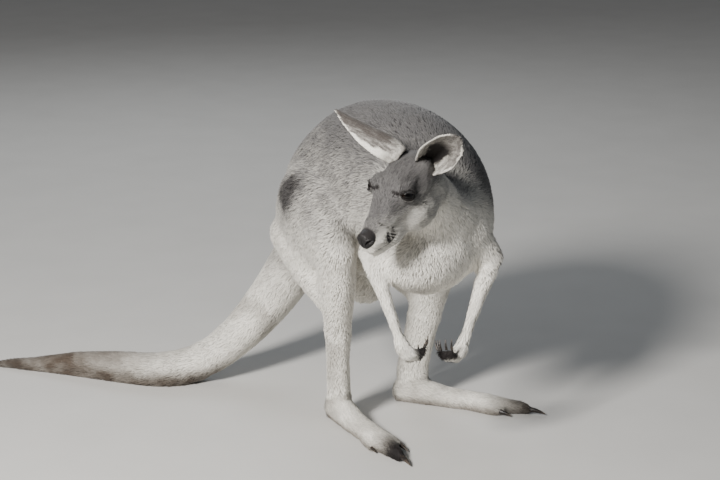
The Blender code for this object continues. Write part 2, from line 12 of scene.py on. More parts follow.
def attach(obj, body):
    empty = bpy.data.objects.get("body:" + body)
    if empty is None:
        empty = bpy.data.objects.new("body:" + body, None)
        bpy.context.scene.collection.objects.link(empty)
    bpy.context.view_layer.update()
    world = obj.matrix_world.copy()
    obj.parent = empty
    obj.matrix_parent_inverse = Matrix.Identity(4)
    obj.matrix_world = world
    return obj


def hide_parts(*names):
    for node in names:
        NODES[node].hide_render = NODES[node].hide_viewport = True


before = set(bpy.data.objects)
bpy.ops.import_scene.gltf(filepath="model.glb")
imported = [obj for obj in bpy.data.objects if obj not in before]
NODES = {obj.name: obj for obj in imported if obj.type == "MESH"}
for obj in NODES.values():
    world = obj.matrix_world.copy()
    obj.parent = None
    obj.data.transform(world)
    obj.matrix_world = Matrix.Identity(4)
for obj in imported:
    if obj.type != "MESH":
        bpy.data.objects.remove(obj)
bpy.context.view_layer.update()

# ---------------------------------------------------------------- 1. The form under the hide
# A taxidermist carves the whole animal as one form, from nose to tail, and fits the hide to it.
# The named solids of the body are joined here into one closed surface, with the ball of each eye
# in its socket, and the joints between the solids are closed.

GRAIN = 0.0034  # spacing of the joined surface's points
HEAD_NOSE = Vector((-0.2410, -0.4852, 0.5130))
HEAD_BACK = Vector((0.829, 0.035, 0.558)).normalized()
HEAD_LEFT = Vector((0.074, -0.996, -0.052))


def head_place():
    """Matrix of the head: x to its left, y back along the skull, z out of the crown, nose pad at 0."""
    crown = HEAD_LEFT.cross(HEAD_BACK).normalized()
    left = HEAD_BACK.cross(crown).normalized()
    turn = Matrix((left, HEAD_BACK, crown)).transposed().to_4x4()
    return Matrix.Translation(HEAD_NOSE) @ turn


HEAD = head_place()


def new_object(name, data):
    obj = bpy.data.objects.new(name, data)
    bpy.context.scene.collection.objects.link(obj)
    return obj


def as_mesh(bm, name):
    """A mesh with the shape of an edit mesh, which is freed."""
    mesh = bpy.data.meshes.new(name)
    bm.to_mesh(mesh)
    bm.free()
    return mesh


def take_in(bm, mesh):
    """Adds a mesh to an edit mesh, and drops the mesh."""
    bm.from_mesh(mesh)
    bpy.data.meshes.remove(mesh)
    return bm


def solid(name, swell=0.0):
    """A copy of a named solid with its doubled points joined, swollen a little to meet its neighbours."""
    bm = bmesh.new()
    bm.from_mesh(NODES[name].data)
    bmesh.ops.remove_doubles(bm, verts=bm.verts, dist=2e-5)
    bmesh.ops.recalc_face_normals(bm, faces=bm.faces)
    bm.normal_update()
    for v in bm.verts:
        v.co += v.normal * swell
    return bm


def evaluated(obj):
    """The object's mesh with its modifiers applied; the object itself is removed."""
    graph = bpy.context.evaluated_depsgraph_get()
    graph.update()
    mesh = bpy.data.meshes.new_from_object(obj.evaluated_get(graph))
    bpy.data.objects.remove(obj)
    return mesh


def rounded(name):
    """A named solid's mesh with its edges rounded away."""
    obj = new_object("rounding", as_mesh(solid(name), "rounding"))
    rounding = obj.modifiers.new("round", "SUBSURF")
    rounding.levels = rounding.render_levels = 2
    return evaluated(obj)


def mesh_points(mesh):
    points = np.zeros(len(mesh.vertices) * 3)
    mesh.vertices.foreach_get("co", points)
    return points.reshape(-1, 3)


def largest_island(bm):
    """Drops every scrap that isn't part of the biggest closed surface."""
    seen, best = set(), []
    for start in bm.verts:
        if start in seen:
            continue
        seen.add(start)
        found, queue = [start], [start]
        while queue:
            v = queue.pop()
            for e in v.link_edges:
                other = e.other_vert(v)
                if other not in seen:
                    seen.add(other)
                    found.append(other)
                    queue.append(other)
        if len(found) > len(best):
            best = found
    keep = set(best)
    bmesh.ops.delete(bm, geom=[v for v in bm.verts if v not in keep], context="VERTS")


MEET = 0.0005  # how far each solid is swollen to meet the next
BODY = sorted(n for n in NODES if not n.startswith(("claw", "ear")))
joined = bmesh.new()
for name in BODY:
    take_in(joined, as_mesh(solid(name, 0.0 if name.startswith("eye") else MEET), "part"))
form = new_object("form", as_mesh(joined, "form"))
remesh = form.modifiers.new("join", "REMESH")
remesh.mode = "VOXEL"
remesh.voxel_size = GRAIN
remesh.adaptivity = 0.0
hide = take_in(bmesh.new(), evaluated(form))
largest_island(hide)

# ---------------------------------------------------------------- 2. The hide's regions
# The hide is thick on the back and rump and thin on the face, ears and hands, and the coat changes
# with it. Each region's coat depth, tuft spacing and smoothness stand here, and each point of the
# hide takes those of the solid it lies on, blended across the joints.

REGIONS = {  # coat depth, tuft spacing, rounds of smoothing
    "head": (0.0022, 0.00205, 3),
    "eye": (0.0012, 0.0018, 2),
    "neck": (0.0055, 0.0028, 11),
    "trunk": (0.0058, 0.0031, 24),
    "thigh": (0.0055, 0.0030, 21),
    "shank": (0.0038, 0.0029, 9),
    "foot": (0.0020, 0.0024, 3),
    "upper_arm": (0.0050, 0.0030, 8),
    "forearm": (0.0034, 0.0027, 6),
    "hand": (0.0012, 0.0020, 1),
    "tail_root": (0.0052, 0.0031, 21),
    "tail_bend": (0.0045, 0.0030, 16),
    "tail_floor": (0.0040, 0.0029, 11),
    "tail_end": (0.0035, 0.0028, 6),
    "ear": (0.0004, 0.0015, 0),
}
REGION_NAMES = list(REGIONS)


def region_of(node):
    return max((r for r in REGION_NAMES if node.startswith(r)), key=len)


def solid_surfaces():
    """One search tree over every solid of the body, with the solid that each face belongs to."""
    points, faces, owners = [], [], []
    for name in sorted(NODES):
        if name.startswith("claw"):
            continue
        mesh = NODES[name].data
        mesh.calc_loop_triangles()
        first = len(points)
        points += [v.co.copy() for v in mesh.vertices]
        faces += [tuple(first + i for i in t.vertices) for t in mesh.loop_triangles]
        owners += [name] * len(mesh.loop_triangles)
    return BVHTree.FromPolygons(points, faces), owners


SURFACES, OWNERS = solid_surfaces()


def nearest_regions(points):
    found = [OWNERS[SURFACES.find_nearest(Vector(p))[2]] for p in points]
    return np.array([REGION_NAMES.index(region_of(n)) for n in found])


def relaxed(values, pairs, rounds, strength):
    """Each point's values drawn towards the mean of its neighbours', a given number of times."""
    n = len(values)
    a, b = pairs[:, 0], pairs[:, 1]
    count = np.maximum(np.bincount(pairs.ravel(), minlength=n), 1)[:, None]
    for _ in range(rounds):
        total = [np.bincount(a, row[b], n) + np.bincount(b, row[a], n) for row in values.T]
        values = values + strength * (np.stack(total, axis=1) / count - values)
    return values


def points_of(bm):
    return np.array([v.co[:] for v in bm.verts])


def normals_of(bm):
    return np.array([v.normal[:] for v in bm.verts])


def pairs_of(bm):
    bm.verts.index_update()
    return np.array([(e.verts[0].index, e.verts[1].index) for e in bm.edges])


def set_points(bm, points):
    for v, p in zip(bm.verts, points):
        v.co = p
    bm.normal_update()


def ramp(x, low, high):
    """0 below low, 1 above high, smooth between."""
    t = np.clip((x - low) / (high - low), 0, 1)
    return t * t * (3 - 2 * t)


MOST_ROUNDS = 30
JOINT_BLEND = 12  # rounds over which one region's coat passes into the next's
SOLE = 0.0004  # height of the bare soles over the floor
points = points_of(hide)
pairs = pairs_of(hide)
region = nearest_regions(points)
table = np.array([REGIONS[r] for r in REGION_NAMES])
facts = relaxed(table[region], pairs, JOINT_BLEND, 0.5)
wanted = facts[:, 2]
for round_number in range(MOST_ROUNDS):
    pull = 0.5 * np.clip(wanted - round_number, 0, 1)[:, None]
    points = relaxed(points, pairs, 1, pull)
set_points(hide, points)

# the hide lies inside the solids by the coat's depth, but not on the soles, which are bare
normals = normals_of(hide)
sole = ramp(-normals[:, 2], 0.5, 0.85) * (1 - ramp(points[:, 2], 0.010, 0.020))
depth = facts[:, 0] * (1 - sole)
points = points - normals * depth[:, None]
points[:, 2] = np.maximum(points[:, 2], SOLE)
flat = (sole > 0.6) & (points[:, 2] < 0.007)
points[flat, 2] = SOLE + 0.25 * np.maximum(points[flat, 2] - 0.0030, 0)
set_points(hide, points)

# ---------------------------------------------------------------- 3. The face
# The face is modelled on the form with papier-mache and clay under thin hide: lips, nostrils, brow,
# cheek and the lids round each glass eye, which are tucked in and glued to the ball.

EYE_PLACE = Vector((0.0390, 0.111, 0.0270))  # the left eye's centre, from the nose pad
EYE_BALL = 0.0143
LID = 0.0017  # thickness of a lid over the ball
EYE_AIM = Vector((0.86, -0.38, 0.30))
EYE_SLOPE = math.radians(37)  # the opening slants down and back from the skull's line
LID_REACH = math.radians(74)  # half the opening's length along the ball
UPPER_LID = math.radians(30)  # how far each lid's edge stands from the opening's line
LOWER_LID = math.radians(22)
SIDES = {"right": -1, "left": 1}
# how a lid's edge turns in, ring by ring: how far it closes, and its height over the ball
LID_TURN = ((0.030, 0.0013), (0.045, 0.0006), (0.030, 0.0001), (-0.08, -0.0009))


def eye_place(name):
    """Matrix of an eye: x along the opening towards the ear, y up, z out of the face."""
    side = SIDES[name]
    aim = Vector((side * EYE_AIM.x, EYE_AIM.y, EYE_AIM.z)).normalized()
    along = Vector((0, math.cos(EYE_SLOPE), -math.sin(EYE_SLOPE)))
    along = (along - aim * along.dot(aim)).normalized()
    lift = aim.cross(along) * side
    centre = Vector((side * EYE_PLACE.x, EYE_PLACE.y, EYE_PLACE.z))
    turn = Matrix((along, lift, aim)).transposed().to_4x4()
    return HEAD @ Matrix.Translation(centre) @ turn


EYES = {name: eye_place(name) for name in SIDES}


def in_frame(matrix, points):
    """World points in a frame's own axes."""
    inv = np.array(matrix.inverted())
    return points @ inv[:3, :3].T + inv[:3, 3]


def folded(q):
    """Places in the head's frame, with its right side folded over onto its left."""
    return np.stack([np.abs(q[:, 0]), q[:, 1], q[:, 2]], axis=1)


def lid_gap(q):
    """Distance along the ball outside the lids' opening, below 0 inside it."""
    across = np.arctan2(q[..., 0], q[..., 2])
    radius = np.maximum(np.linalg.norm(q, axis=-1), 1e-6)
    up = np.arcsin(np.clip(q[..., 1] / radius, -1, 1))
    bow = np.clip(1 - (across / LID_REACH) ** 2, 0, 1)
    top = UPPER_LID * bow**0.72
    bottom = -LOWER_LID * bow**0.85
    inside = np.maximum(up - top, bottom - up)
    beyond = np.hypot(np.abs(across) - LID_REACH, up)
    gap = np.where(np.abs(across) < LID_REACH, inside, beyond)
    return gap * (EYE_BALL + LID)


def eye_corners(e):
    """1 on the dark wedges that run on from the corners of the opening, the longer one towards the nose."""
    front = mound(e, (-0.0200, -0.0014, -0.003), (0.0115, 0.0040, 0.024))
    back = mound(e, (0.0155, 0.0004, -0.001), (0.0080, 0.0036, 0.024))
    return ramp(np.maximum(front, back), 0.30, 0.60)


def bell(x, width):
    return np.exp(-((x / width) ** 2))


def mound(q, centre, radii):
    """1 at the centre of an ellipsoid, fading to 0 round it."""
    d = (q - np.array(centre)) / np.array(radii)
    return np.exp(-np.sum(d * d, axis=-1))


MOUTH_CORNER = 0.060
FACE_FORMS = (  # rise, centre and radii of what swells or sinks on each side of the face
    (0.0020, (0.050, 0.130, 0.004), (0.020, 0.030, 0.008)),  # cheekbone
    (-0.0022, (0.046, 0.152, 0.026), (0.020, 0.016, 0.012)),  # temple
    (-0.0022, (0.034, 0.082, 0.012), (0.016, 0.014, 0.012)),  # hollow before the eye
    (-0.0014, (0.034, 0.070, -0.014), (0.018, 0.022, 0.010)),  # flat side of the muzzle
    (0.0016, (0.021, 0.030, -0.014), (0.012, 0.016, 0.012)),  # upper lip
    (0.0012, (0.000, 0.022, -0.040), (0.014, 0.014, 0.010)),  # chin
)


def mouth_height(y):
    """How high the line between the lips runs, from the front of the muzzle to its corner."""
    return -0.0275 - 0.006 * np.sin(np.clip((y - 0.004) / 0.05, 0, 1) * math.pi * 0.9)


def nostril(q, side):
    """The slit that curls up and back at one side of the pad, the rim round it, and the way it goes in."""
    long_way = np.array((side * 0.72, 0.55, 0.30))
    long_way /= np.linalg.norm(long_way)
    inward = np.array((-side * 0.42, 0.90, 0.05))
    inward -= long_way * (inward @ long_way)
    inward /= np.linalg.norm(inward)
    across = np.cross(long_way, inward) * side
    d = q - np.array((side * 0.0135, -0.0010, -0.0005))
    along = d @ long_way
    bend = d @ across + 55 * along**2
    near = np.abs(d @ inward) < 0.014
    hole = np.exp(-((along / 0.0068) ** 4) - (bend / 0.0022) ** 4) * near
    rim = np.exp(-((along / 0.0092) ** 4) - (bend / 0.0048) ** 4) * near
    return hole, rim, inward


def shape_face(points, normals):
    """Moves the points of the head that lie on its features; everything else stays."""
    q = in_frame(HEAD, points)
    x, y, z = q.T
    push = np.zeros(len(q))
    for rise, centre, radii in FACE_FORMS:
        push += rise * mound(folded(q), centre, radii)
    # the lips and the furrow from the nose pad to them
    reach = ramp(y, -0.012, -0.002) * (1 - ramp(y, MOUTH_CORNER - 0.008, MOUTH_CORNER))
    line = z - mouth_height(y)
    push -= 0.0030 * reach * bell(line, 0.0015)
    push += 0.0012 * reach * bell(line - 0.0045, 0.003)
    push += 0.0007 * reach * bell(line + 0.0040, 0.002)
    front = (1 - ramp(y, 0.012, 0.022)) * ramp(line, 0.0, 0.003) * (1 - ramp(z, -0.006, 0.002))
    push -= 0.0016 * front * bell(x, 0.0013)
    # the rim of the bare nose pad, its rise and the furrow down its middle
    pad = nose_pad(q)
    push -= 0.0004 * bell(pad - 1.0, 0.10)
    push += 0.0008 * (1 - ramp(pad, 0.55, 1.0))
    push -= 0.0016 * bell(x, 0.0014) * (1 - ramp(pad, 0.6, 1.0)) * (1 - ramp(z, 0.002, 0.009))
    points = points + normals * push[:, None]
    for s in (-1, 1):
        hole, rim, inward = nostril(q, s)
        points = points + (hole * 0.0062)[:, None] * (np.array(HEAD.to_3x3()) @ inward)
        points = points + normals * (0.0012 * (rim - hole))[:, None]
    # the lids hug the ball, with a fold over the upper one and a soft bag under the lower
    for place in EYES.values():
        e = in_frame(place, points)
        far = np.linalg.norm(e, axis=1)
        gap = lid_gap(e)
        near = (far < 0.040) & (e[:, 2] > 0)
        hug = np.where(near, 1 - ramp(gap, 0.003, 0.0115), 0)
        target = EYE_BALL + LID
        target = target - 0.0008 * bell(gap - 0.0052, 0.0011) * (e[:, 1] > 0)
        target = target + 0.0008 * bell(gap - 0.0032, 0.0014) * (e[:, 1] > 0)
        target = target - 0.0005 * bell(gap - 0.0050, 0.0012) * (e[:, 1] <= 0)
        scale = 1 + hug * (target / far - 1) - near * 0.0012 * eye_corners(e) / far
        turn = np.array(place)
        points = np.where(near[:, None], (e * scale[:, None]) @ turn[:3, :3].T + turn[:3, 3], points)
    return points


def nose_pad(q):
    """1 on the edge of the bare nose pad, below 1 on it."""
    d = q - np.array((0.0, 0.0020, 0.0010))
    wide = 0.0265 * (1 + 0.30 * np.clip(d[..., 2] / 0.0195, -1.5, 1))
    d = np.stack([d[..., 0] / wide, d[..., 1] / 0.0245, d[..., 2] / 0.0195], axis=-1)
    return np.linalg.norm(d, axis=-1)


def refine(bm, chosen):
    """Splits the faces whose points are all chosen, to carry finer shapes."""
    edges = [e for e in bm.edges if chosen[e.verts[0].index] and chosen[e.verts[1].index]]
    bmesh.ops.subdivide_edges(bm, edges=edges, cuts=1, use_grid_fill=True)
    bm.verts.index_update()


def inside_box(q, low, high):
    return np.all((q > low) & (q < high), axis=1)


def near_eyes(points, reach):
    """The points within reach of the front of either eye."""
    fronts = [in_frame(place, points) - (0, 0, 0.008) for place in EYES.values()]
    return np.any([np.linalg.norm(e, axis=1) < reach for e in fronts], axis=0)


hide.verts.index_update()
q = in_frame(HEAD, points)
fine = inside_box(q, (-0.075, -0.03, -0.085), (0.075, 0.205, 0.08))
refine(hide, fine | (region == REGION_NAMES.index("hand")))
points = points_of(hide)
muzzle_tip = inside_box(in_frame(HEAD, points), (-0.04, -0.03, -0.06), (0.04, 0.034, 0.04))
refine(hide, muzzle_tip | near_eyes(points, 0.027))
refine(hide, near_eyes(points_of(hide), 0.019))
points = relaxed(points_of(hide), pairs_of(hide), 3, 0.5)
set_points(hide, points)
set_points(hide, shape_face(points, normals_of(hide)))


def cut_opening(bm, place, rim):
    """Cuts the lids' opening along its edge and turns the edge in under the ball's front."""
    inv = place.inverted()

    def gap(v):
        e = inv @ v.co
        if e.z < 0 or e.length > 0.03:
            return 1.0
        return float(lid_gap(np.array(e)))

    close = [v for v in bm.verts if (v.co - place.translation).length < 0.032]
    gaps = {v: gap(v) for v in close}
    # kept in order, and not as sets, so that every run numbers the new points alike
    edges = dict.fromkeys(e for v in close for e in v.link_edges if all(w in gaps for w in e.verts))
    new = []
    for e in edges:
        a, b = e.verts
        if gaps[a] * gaps[b] < 0:
            new.append(bmesh.utils.edge_split(e, a, gaps[a] / (gaps[a] - gaps[b]))[1])
    for v in new:
        gaps[v] = 0.0
    bmesh.ops.connect_verts(bm, verts=new)
    faces = dict.fromkeys(f for v in close for f in v.link_faces)
    dropped = [f for f in faces if min(gaps.get(w, 1.0) for w in f.verts) < -1e-7]
    bmesh.ops.delete(bm, geom=dropped, context="FACES")
    edge = list(dict.fromkeys(e for v in new if v.is_valid for e in v.link_edges if e.is_boundary))
    for v in {v for e in edge for v in e.verts}:
        v[rim] = 0.6
    for closer, over in LID_TURN:
        made = bmesh.ops.extrude_edge_only(bm, edges=edge)["geom"]
        edge = [g for g in made if isinstance(g, bmesh.types.BMEdge) and g.is_boundary]
        for v in [g for g in made if isinstance(g, bmesh.types.BMVert)]:
            e = inv @ v.co
            e = Vector((e.x * (1 - closer * 0.6), e.y * (1 - closer * 2.2), e.z))
            v.co = place @ (e.normalized() * (EYE_BALL + over))
            v[rim] = 1.0


rim_layer = hide.verts.layers.float.new("rim")
for place in EYES.values():
    cut_opening(hide, place, rim_layer)
# the points are numbered afresh, so that those of the ears follow all of these
hide = take_in(bmesh.new(), as_mesh(hide, "form"))

# ---------------------------------------------------------------- 4. The ears
# An ear keeps its own thin leaf of gristle with hide on both faces, rolled into a deep cup at the
# root. It is set into the swelling behind the brow, where the coat covers the join.

EAR_ROOT = Vector((0.0310, 0.178, 0.0270))
EAR_AIM = {"right": (-0.815, 0.02, 0.545), "left": (0.75, 0.05, 0.66)}
EAR_OPENING = {"right": (-0.443, -0.57, -0.664), "left": (0.22, -0.97, 0.05)}
EAR_LENGTH = 0.158
EAR_HALF_WIDTH = 0.037
EAR_SHARES = (0.0, 0.14, 0.32, 0.50, 0.68, 0.84, 0.95, 1.0)
EAR_WIDTHS = (0.56, 0.76, 0.96, 0.94, 0.76, 0.47, 0.22, 0.09)


def ear_place(name):
    """Matrix of an ear: x across the leaf, y from the root to the tip, z out of the cup."""
    turn = HEAD.to_3x3()
    aim = (turn @ Vector(EAR_AIM[name])).normalized()
    opening = turn @ Vector(EAR_OPENING[name])
    opening = (opening - aim * opening.dot(aim)).normalized()
    root = HEAD @ Vector((SIDES[name] * EAR_ROOT.x, EAR_ROOT.y, EAR_ROOT.z))
    return Matrix.Translation(root) @ Matrix((aim.cross(opening), aim, opening)).transposed().to_4x4()


EAR_PLACES = {name: ear_place(name) for name in SIDES}
leaf_layer = hide.verts.layers.float.new("leaf")


def add_ear(bm, name):
    """The ear's solid, rounded, with the shallow ribs of gristle down the inside of its cup."""
    mesh = rounded("ear_" + name)
    points = mesh_points(mesh)
    normals = np.array([v.vector[:] for v in mesh.vertex_normals])
    e = in_frame(EAR_PLACES[name], points)
    out_of_cup = np.array(EAR_PLACES[name].inverted())[2, :3]
    inside = ramp(normals @ out_of_cup, 0.05, 0.4)
    ribs = 0.0004 * np.sin(e[:, 0] * 900 + 5 * e[:, 1]) * inside * ramp(0.10 - e[:, 1], 0, 0.05)
    points = points + normals * ribs[:, None]
    if name == "left":  # held open, so that its tip is broad and round
        share = e[:, 1] / EAR_LENGTH
        wider = 0.24 * ramp(share, 0.55, 0.85) + 0.50 * ramp(share, 0.84, 0.98)
        shorter = 0.014 * ramp(share, 0.70, 1.0)
        axes = np.array(EAR_PLACES[name])[:3, :3]
        points = points + (wider * e[:, 0])[:, None] * axes[:, 0] - shorter[:, None] * axes[:, 1]
    mesh.vertices.foreach_set("co", points.ravel())
    before = len(bm.verts)
    take_in(bm, mesh)
    bm.verts.ensure_lookup_table()
    for v in bm.verts[before:]:
        v[leaf_layer] = 1.0


for name in SIDES:
    add_ear(hide, name)
hide.verts.index_update()
hide.normal_update()

# ---------------------------------------------------------------- 5. Markings
# Blue-grey above and nearly white below and on the limbs, as a grown female of the big red kind:
# black and white whisker marks, dark toes and fingers, and brown earth worn into the tail and feet. Painted
# shade greys the top of the back and the side away from the light, and darkens the crease over each eye, the
# nostrils and the hollows of the ears.

TRUNK_LINE = (  # along the back, from the neck to the root of the tail
    (-0.003, -0.467, 0.432), (0.029, -0.431, 0.448), (0.067, -0.381, 0.472), (0.095, -0.317, 0.506),
    (0.111, -0.234, 0.520), (0.119, -0.139, 0.508), (0.115, -0.034, 0.455), (0.131, 0.039, 0.398),
)
TAIL_LINE = (
    (0.117, -0.024, 0.430), (0.150, 0.057, 0.342), (0.135, 0.118, 0.250), (0.087, 0.149, 0.172),
    (0.019, 0.176, 0.104), (-0.048, 0.213, 0.055), (-0.123, 0.268, 0.037), (-0.174, 0.355, 0.034),
    (-0.216, 0.447, 0.028), (-0.263, 0.533, 0.018), (-0.322, 0.631, 0.008),
)
LEG_LINES = {  # hip, knee, ankle, toes
    "right": ((0.021, -0.076, 0.452), (-0.071, -0.239, 0.415), (-0.003, -0.173, 0.058), (-0.091, -0.475, 0)),
    "left": ((0.202, -0.089, 0.450), (0.192, -0.294, 0.405), (0.191, -0.201, 0.058), (0.327, -0.469, 0.0)),
}
ARM_LINES = {  # shoulder, elbow, wrist
    "right": ((-0.068, -0.394, 0.470), (-0.119, -0.377, 0.452), (-0.145, -0.494, 0.287)),
    "left": ((0.069, -0.469, 0.445), (0.103, -0.513, 0.424), (-0.0155, -0.539, 0.260)),
}
HAND_REACH = 0.12  # how far a hand and its claws reach from the wrist
EAR_REACH = (0.06, 0.12, 0.09)  # what is nearer than this to the middle of an ear is part of it
FRECKLES = (  # place along the face, height on it, and size
    (0.038, 0.010, 0.0030),
    (0.044, 0.000, 0.0026),
    (0.128, -0.011, 0.0036),
    (0.086, 0.046, 0.0028),
)


def region_is(region, *names):
    return np.isin(region, [REGION_NAMES.index(n) for n in names])


def cloud(points, size, seed):
    """Soft noise between -1 and 1, with lumps of the given size, the same on each run."""
    p = points / size + 100.0 * seed
    cell = np.floor(p).astype(np.int64)
    f = p - cell
    f = f * f * (3 - 2 * f)
    total = np.zeros(len(points))
    for dx in (0, 1):
        for dy in (0, 1):
            for dz in (0, 1):
                c = cell + np.array((dx, dy, dz))
                h = (c[:, 0] * 73856093) ^ (c[:, 1] * 19349663) ^ (c[:, 2] * 83492791) ^ (seed * 2654435)
                h = (h * 1103515245 + 12345) & 0x7FFFFFFF
                value = ((h >> 8) & 0xFFFF) / 32767.5 - 1
                weight = (f[:, 0] if dx else 1 - f[:, 0]) * (f[:, 1] if dy else 1 - f[:, 1])
                total += value * weight * (f[:, 2] if dz else 1 - f[:, 2])
    return total


def markings(points, normals, region, leaf):
    """How grey, earthy and black the coat is at each point, painted shade included, and how bare the hide
    is.
    """
    q = in_frame(HEAD, points)
    m = folded(q)
    y, z, up = points[:, 1], points[:, 2], normals[:, 2]
    qy, qz = q[:, 1], q[:, 2]

    def on(*names):
        return region_is(region, *names)

    soft = cloud(points, 0.045, 3) * 0.5 + cloud(points, 0.018, 4) * 0.3
    # trunk: grey back and flanks, white breast and belly, with painted shade making the top of the back
    # greyer than the flanks and the side away from the light grey further down
    front = normals @ np.array((-0.50, -0.72, -0.48))
    breast = mound(points, (-0.02, -0.47, 0.43), (0.15, 0.12, 0.13))
    # painted shade: the side away from the light counts as higher, so its grey reaches further down
    high = z + 0.03 * soft + 0.11 * ramp(points[:, 0], 0.05, 0.15)
    # the second, higher step of grey is painted shade on the top of the back
    back_grey_and_top_shade = 0.66 * ramp(high, 0.34, 0.53) + 0.34 * ramp(high, 0.54, 0.70)
    trunk = back_grey_and_top_shade * (1 - ramp(front, -0.15, 0.45) * ramp(breast, 0.05, 0.5))
    crown = normals @ np.array(HEAD.to_3x3())[:, 2]
    # face: grey brow and bridge, paler cheeks, white lips and chin, a pale ring round each eye
    face = 0.50 + 0.48 * ramp(qz + 0.010 * soft, -0.030, 0.034)
    face -= 0.16 * mound(m, (0.030, 0.055, 0.000), (0.016, 0.040, 0.022))
    face *= 0.22 + 0.78 * ramp(qz + 0.25 * qy + 0.006 * soft, -0.052, -0.010)
    lip_white = (1 - ramp(qy, 0.030, 0.056)) * (1 - ramp(qz + 0.004 * soft, -0.010, 0.010))
    face *= 1 - 0.80 * lip_white
    gap = np.full(len(points), 1.0)
    corners = np.zeros(len(points))
    for place in EYES.values():
        e = in_frame(place, points)
        ahead = (np.linalg.norm(e, axis=1) < 0.04) & (e[:, 2] > -0.016)
        gap = np.where(ahead, np.minimum(gap, lid_gap(e)), gap)
        corners = np.where(ahead, np.maximum(corners, eye_corners(e)), corners)
    face *= 1 - ramp(gap, 0.0026, 0.0034) * (1 - ramp(gap, 0.0036, 0.0060)) * 0.22
    tail = 0.14 + 0.22 * ramp(up, 0.2, 0.9)
    grey = np.full(len(points), 0.10)
    for name, tone in (
        ("trunk", trunk),
        ("neck", ramp(crown + 0.25 * soft, -0.25, 0.45)),
        # painted shade: as on the trunk, the thigh is greyer on top and on the side away from the light, and
        # the upper arm on that side
        ("thigh", 0.66 * ramp(high, 0.29, 0.52) + 0.28 * ramp(high, 0.54, 0.68)),
        ("shank", 0.10 + 0.35 * ramp(z, 0.30, 0.44)),
        ("tail_root", 0.52 * ramp(z, 0.14, 0.38) + 0.14),
        ("tail_bend", tail),
        ("tail_floor", tail),
        ("tail_end", tail),
        ("upper_arm", 0.20 + 0.50 * ramp(high, 0.43, 0.53)),
        ("head", face),
        ("eye", face),
    ):
        grey = np.where(on(name), tone, grey)
    # black marks on the face: lids and their corners, and two dusky strokes on the bridge and brow; painted
    # shade in the crease over each upper lid
    head = on("head", "eye")
    # painted shade in the fold over each upper lid
    crease_shade = np.zeros(len(points))
    for place in EYES.values():
        over = in_frame(place, points)[:, 1]
        crease_shade = np.maximum(crease_shade, ramp(over, 0.000, 0.006) * (1 - ramp(gap, 0.0035, 0.0085)))
    dark = np.maximum.reduce([1 - ramp(gap, 0.0022, 0.0042), corners, 0.55 * crease_shade])
    bridge = mound(m, (0.025, 0.085, 0.018), (0.011, 0.042, 0.015))
    bridge = bridge + mound(m, (0.030, 0.128, 0.046), (0.014, 0.030, 0.012))
    dark = np.maximum(dark, 0.26 * bridge * (1 + 0.5 * soft) * head)
    # two slanting bars behind the lip's white, painted shade in the slits of the nostrils, freckles and the
    # lips' edges
    for at, lean, size in ((0.0345, 0.15, 0.0042), (0.0480, 0.30, 0.0050)):
        slant = np.stack([0 * z, lean * (qz + 0.020), 0 * z], axis=1)
        bar = mound(m - slant, (0.026, at, -0.020), (0.014, size, 0.0140))
        dark = np.maximum(dark, ramp(bar + 0.10 * soft, 0.16, 0.42) * head)
    # painted shade in the nostril holes
    for s in (-1, 1):
        dark = np.maximum(dark, ramp(nostril(q, s)[0], 0.3, 0.7) * head)
    for at, up_at, size in FRECKLES:
        d = np.hypot(qy - at, qz - up_at) / size
        dark = np.maximum(dark, 0.75 * (1 - ramp(d, 0.5, 1.5)) * head)
    line = np.abs(qz - mouth_height(qy))
    lips = (1 - ramp(line, 0.0018, 0.0036)) * ramp(qy, -0.012, -0.004) * (1 - ramp(qy, 0.054, 0.060))
    dark = np.maximum(dark, 0.95 * lips * head)
    nose = head * (1 - ramp(nose_pad(q) + 0.05 * soft + 0.03 * cloud(q, 0.003, 6), 0.90, 1.10))
    # black toes, fingers and tip of the tail
    worn = []
    for name, (hip, knee, ankle, toe) in LEG_LINES.items():
        ankle, toe = np.array(ankle), np.array(toe)
        forward = toe - ankle
        forward[2] = 0
        forward /= np.linalg.norm(forward)
        along = (points - ankle) @ forward
        toes = ramp(along + 0.020 * soft, 0.155, 0.270) * on("foot")
        toes *= np.abs((points - ankle) @ np.array((forward[1], -forward[0], 0))) < 0.08
        dark = np.maximum(dark, (1.0 if name == "right" else 0.58) * toes)
        worn.append(toes)
    claws = [NODES[n].data.vertices for n in NODES if n.startswith("claw")]
    claws = [np.mean([v.co[:] for v in claw], axis=0) for claw in claws]
    for shoulder, elbow, wrist in ARM_LINES.values():
        hand = on("hand") & (np.linalg.norm(points - wrist, axis=1) < HAND_REACH)
        own = [c for c in claws if np.linalg.norm(c - wrist) < HAND_REACH]
        reach = np.min([np.linalg.norm(points - c, axis=1) for c in own], axis=0)
        fingers = 1 - ramp(reach + 0.006 * soft, 0.020, 0.036)
        dark = np.where(hand, np.maximum(dark, 0.95 * fingers), dark)
        grey = np.where(hand, 0.25 + 0.4 * fingers, grey)
    tip = np.linalg.norm(points - np.array(TAIL_LINE[-1]), axis=1)
    dark = np.maximum(dark, 0.42 * (1 - ramp(tip, 0.03, 0.20)) * on("tail_end"))
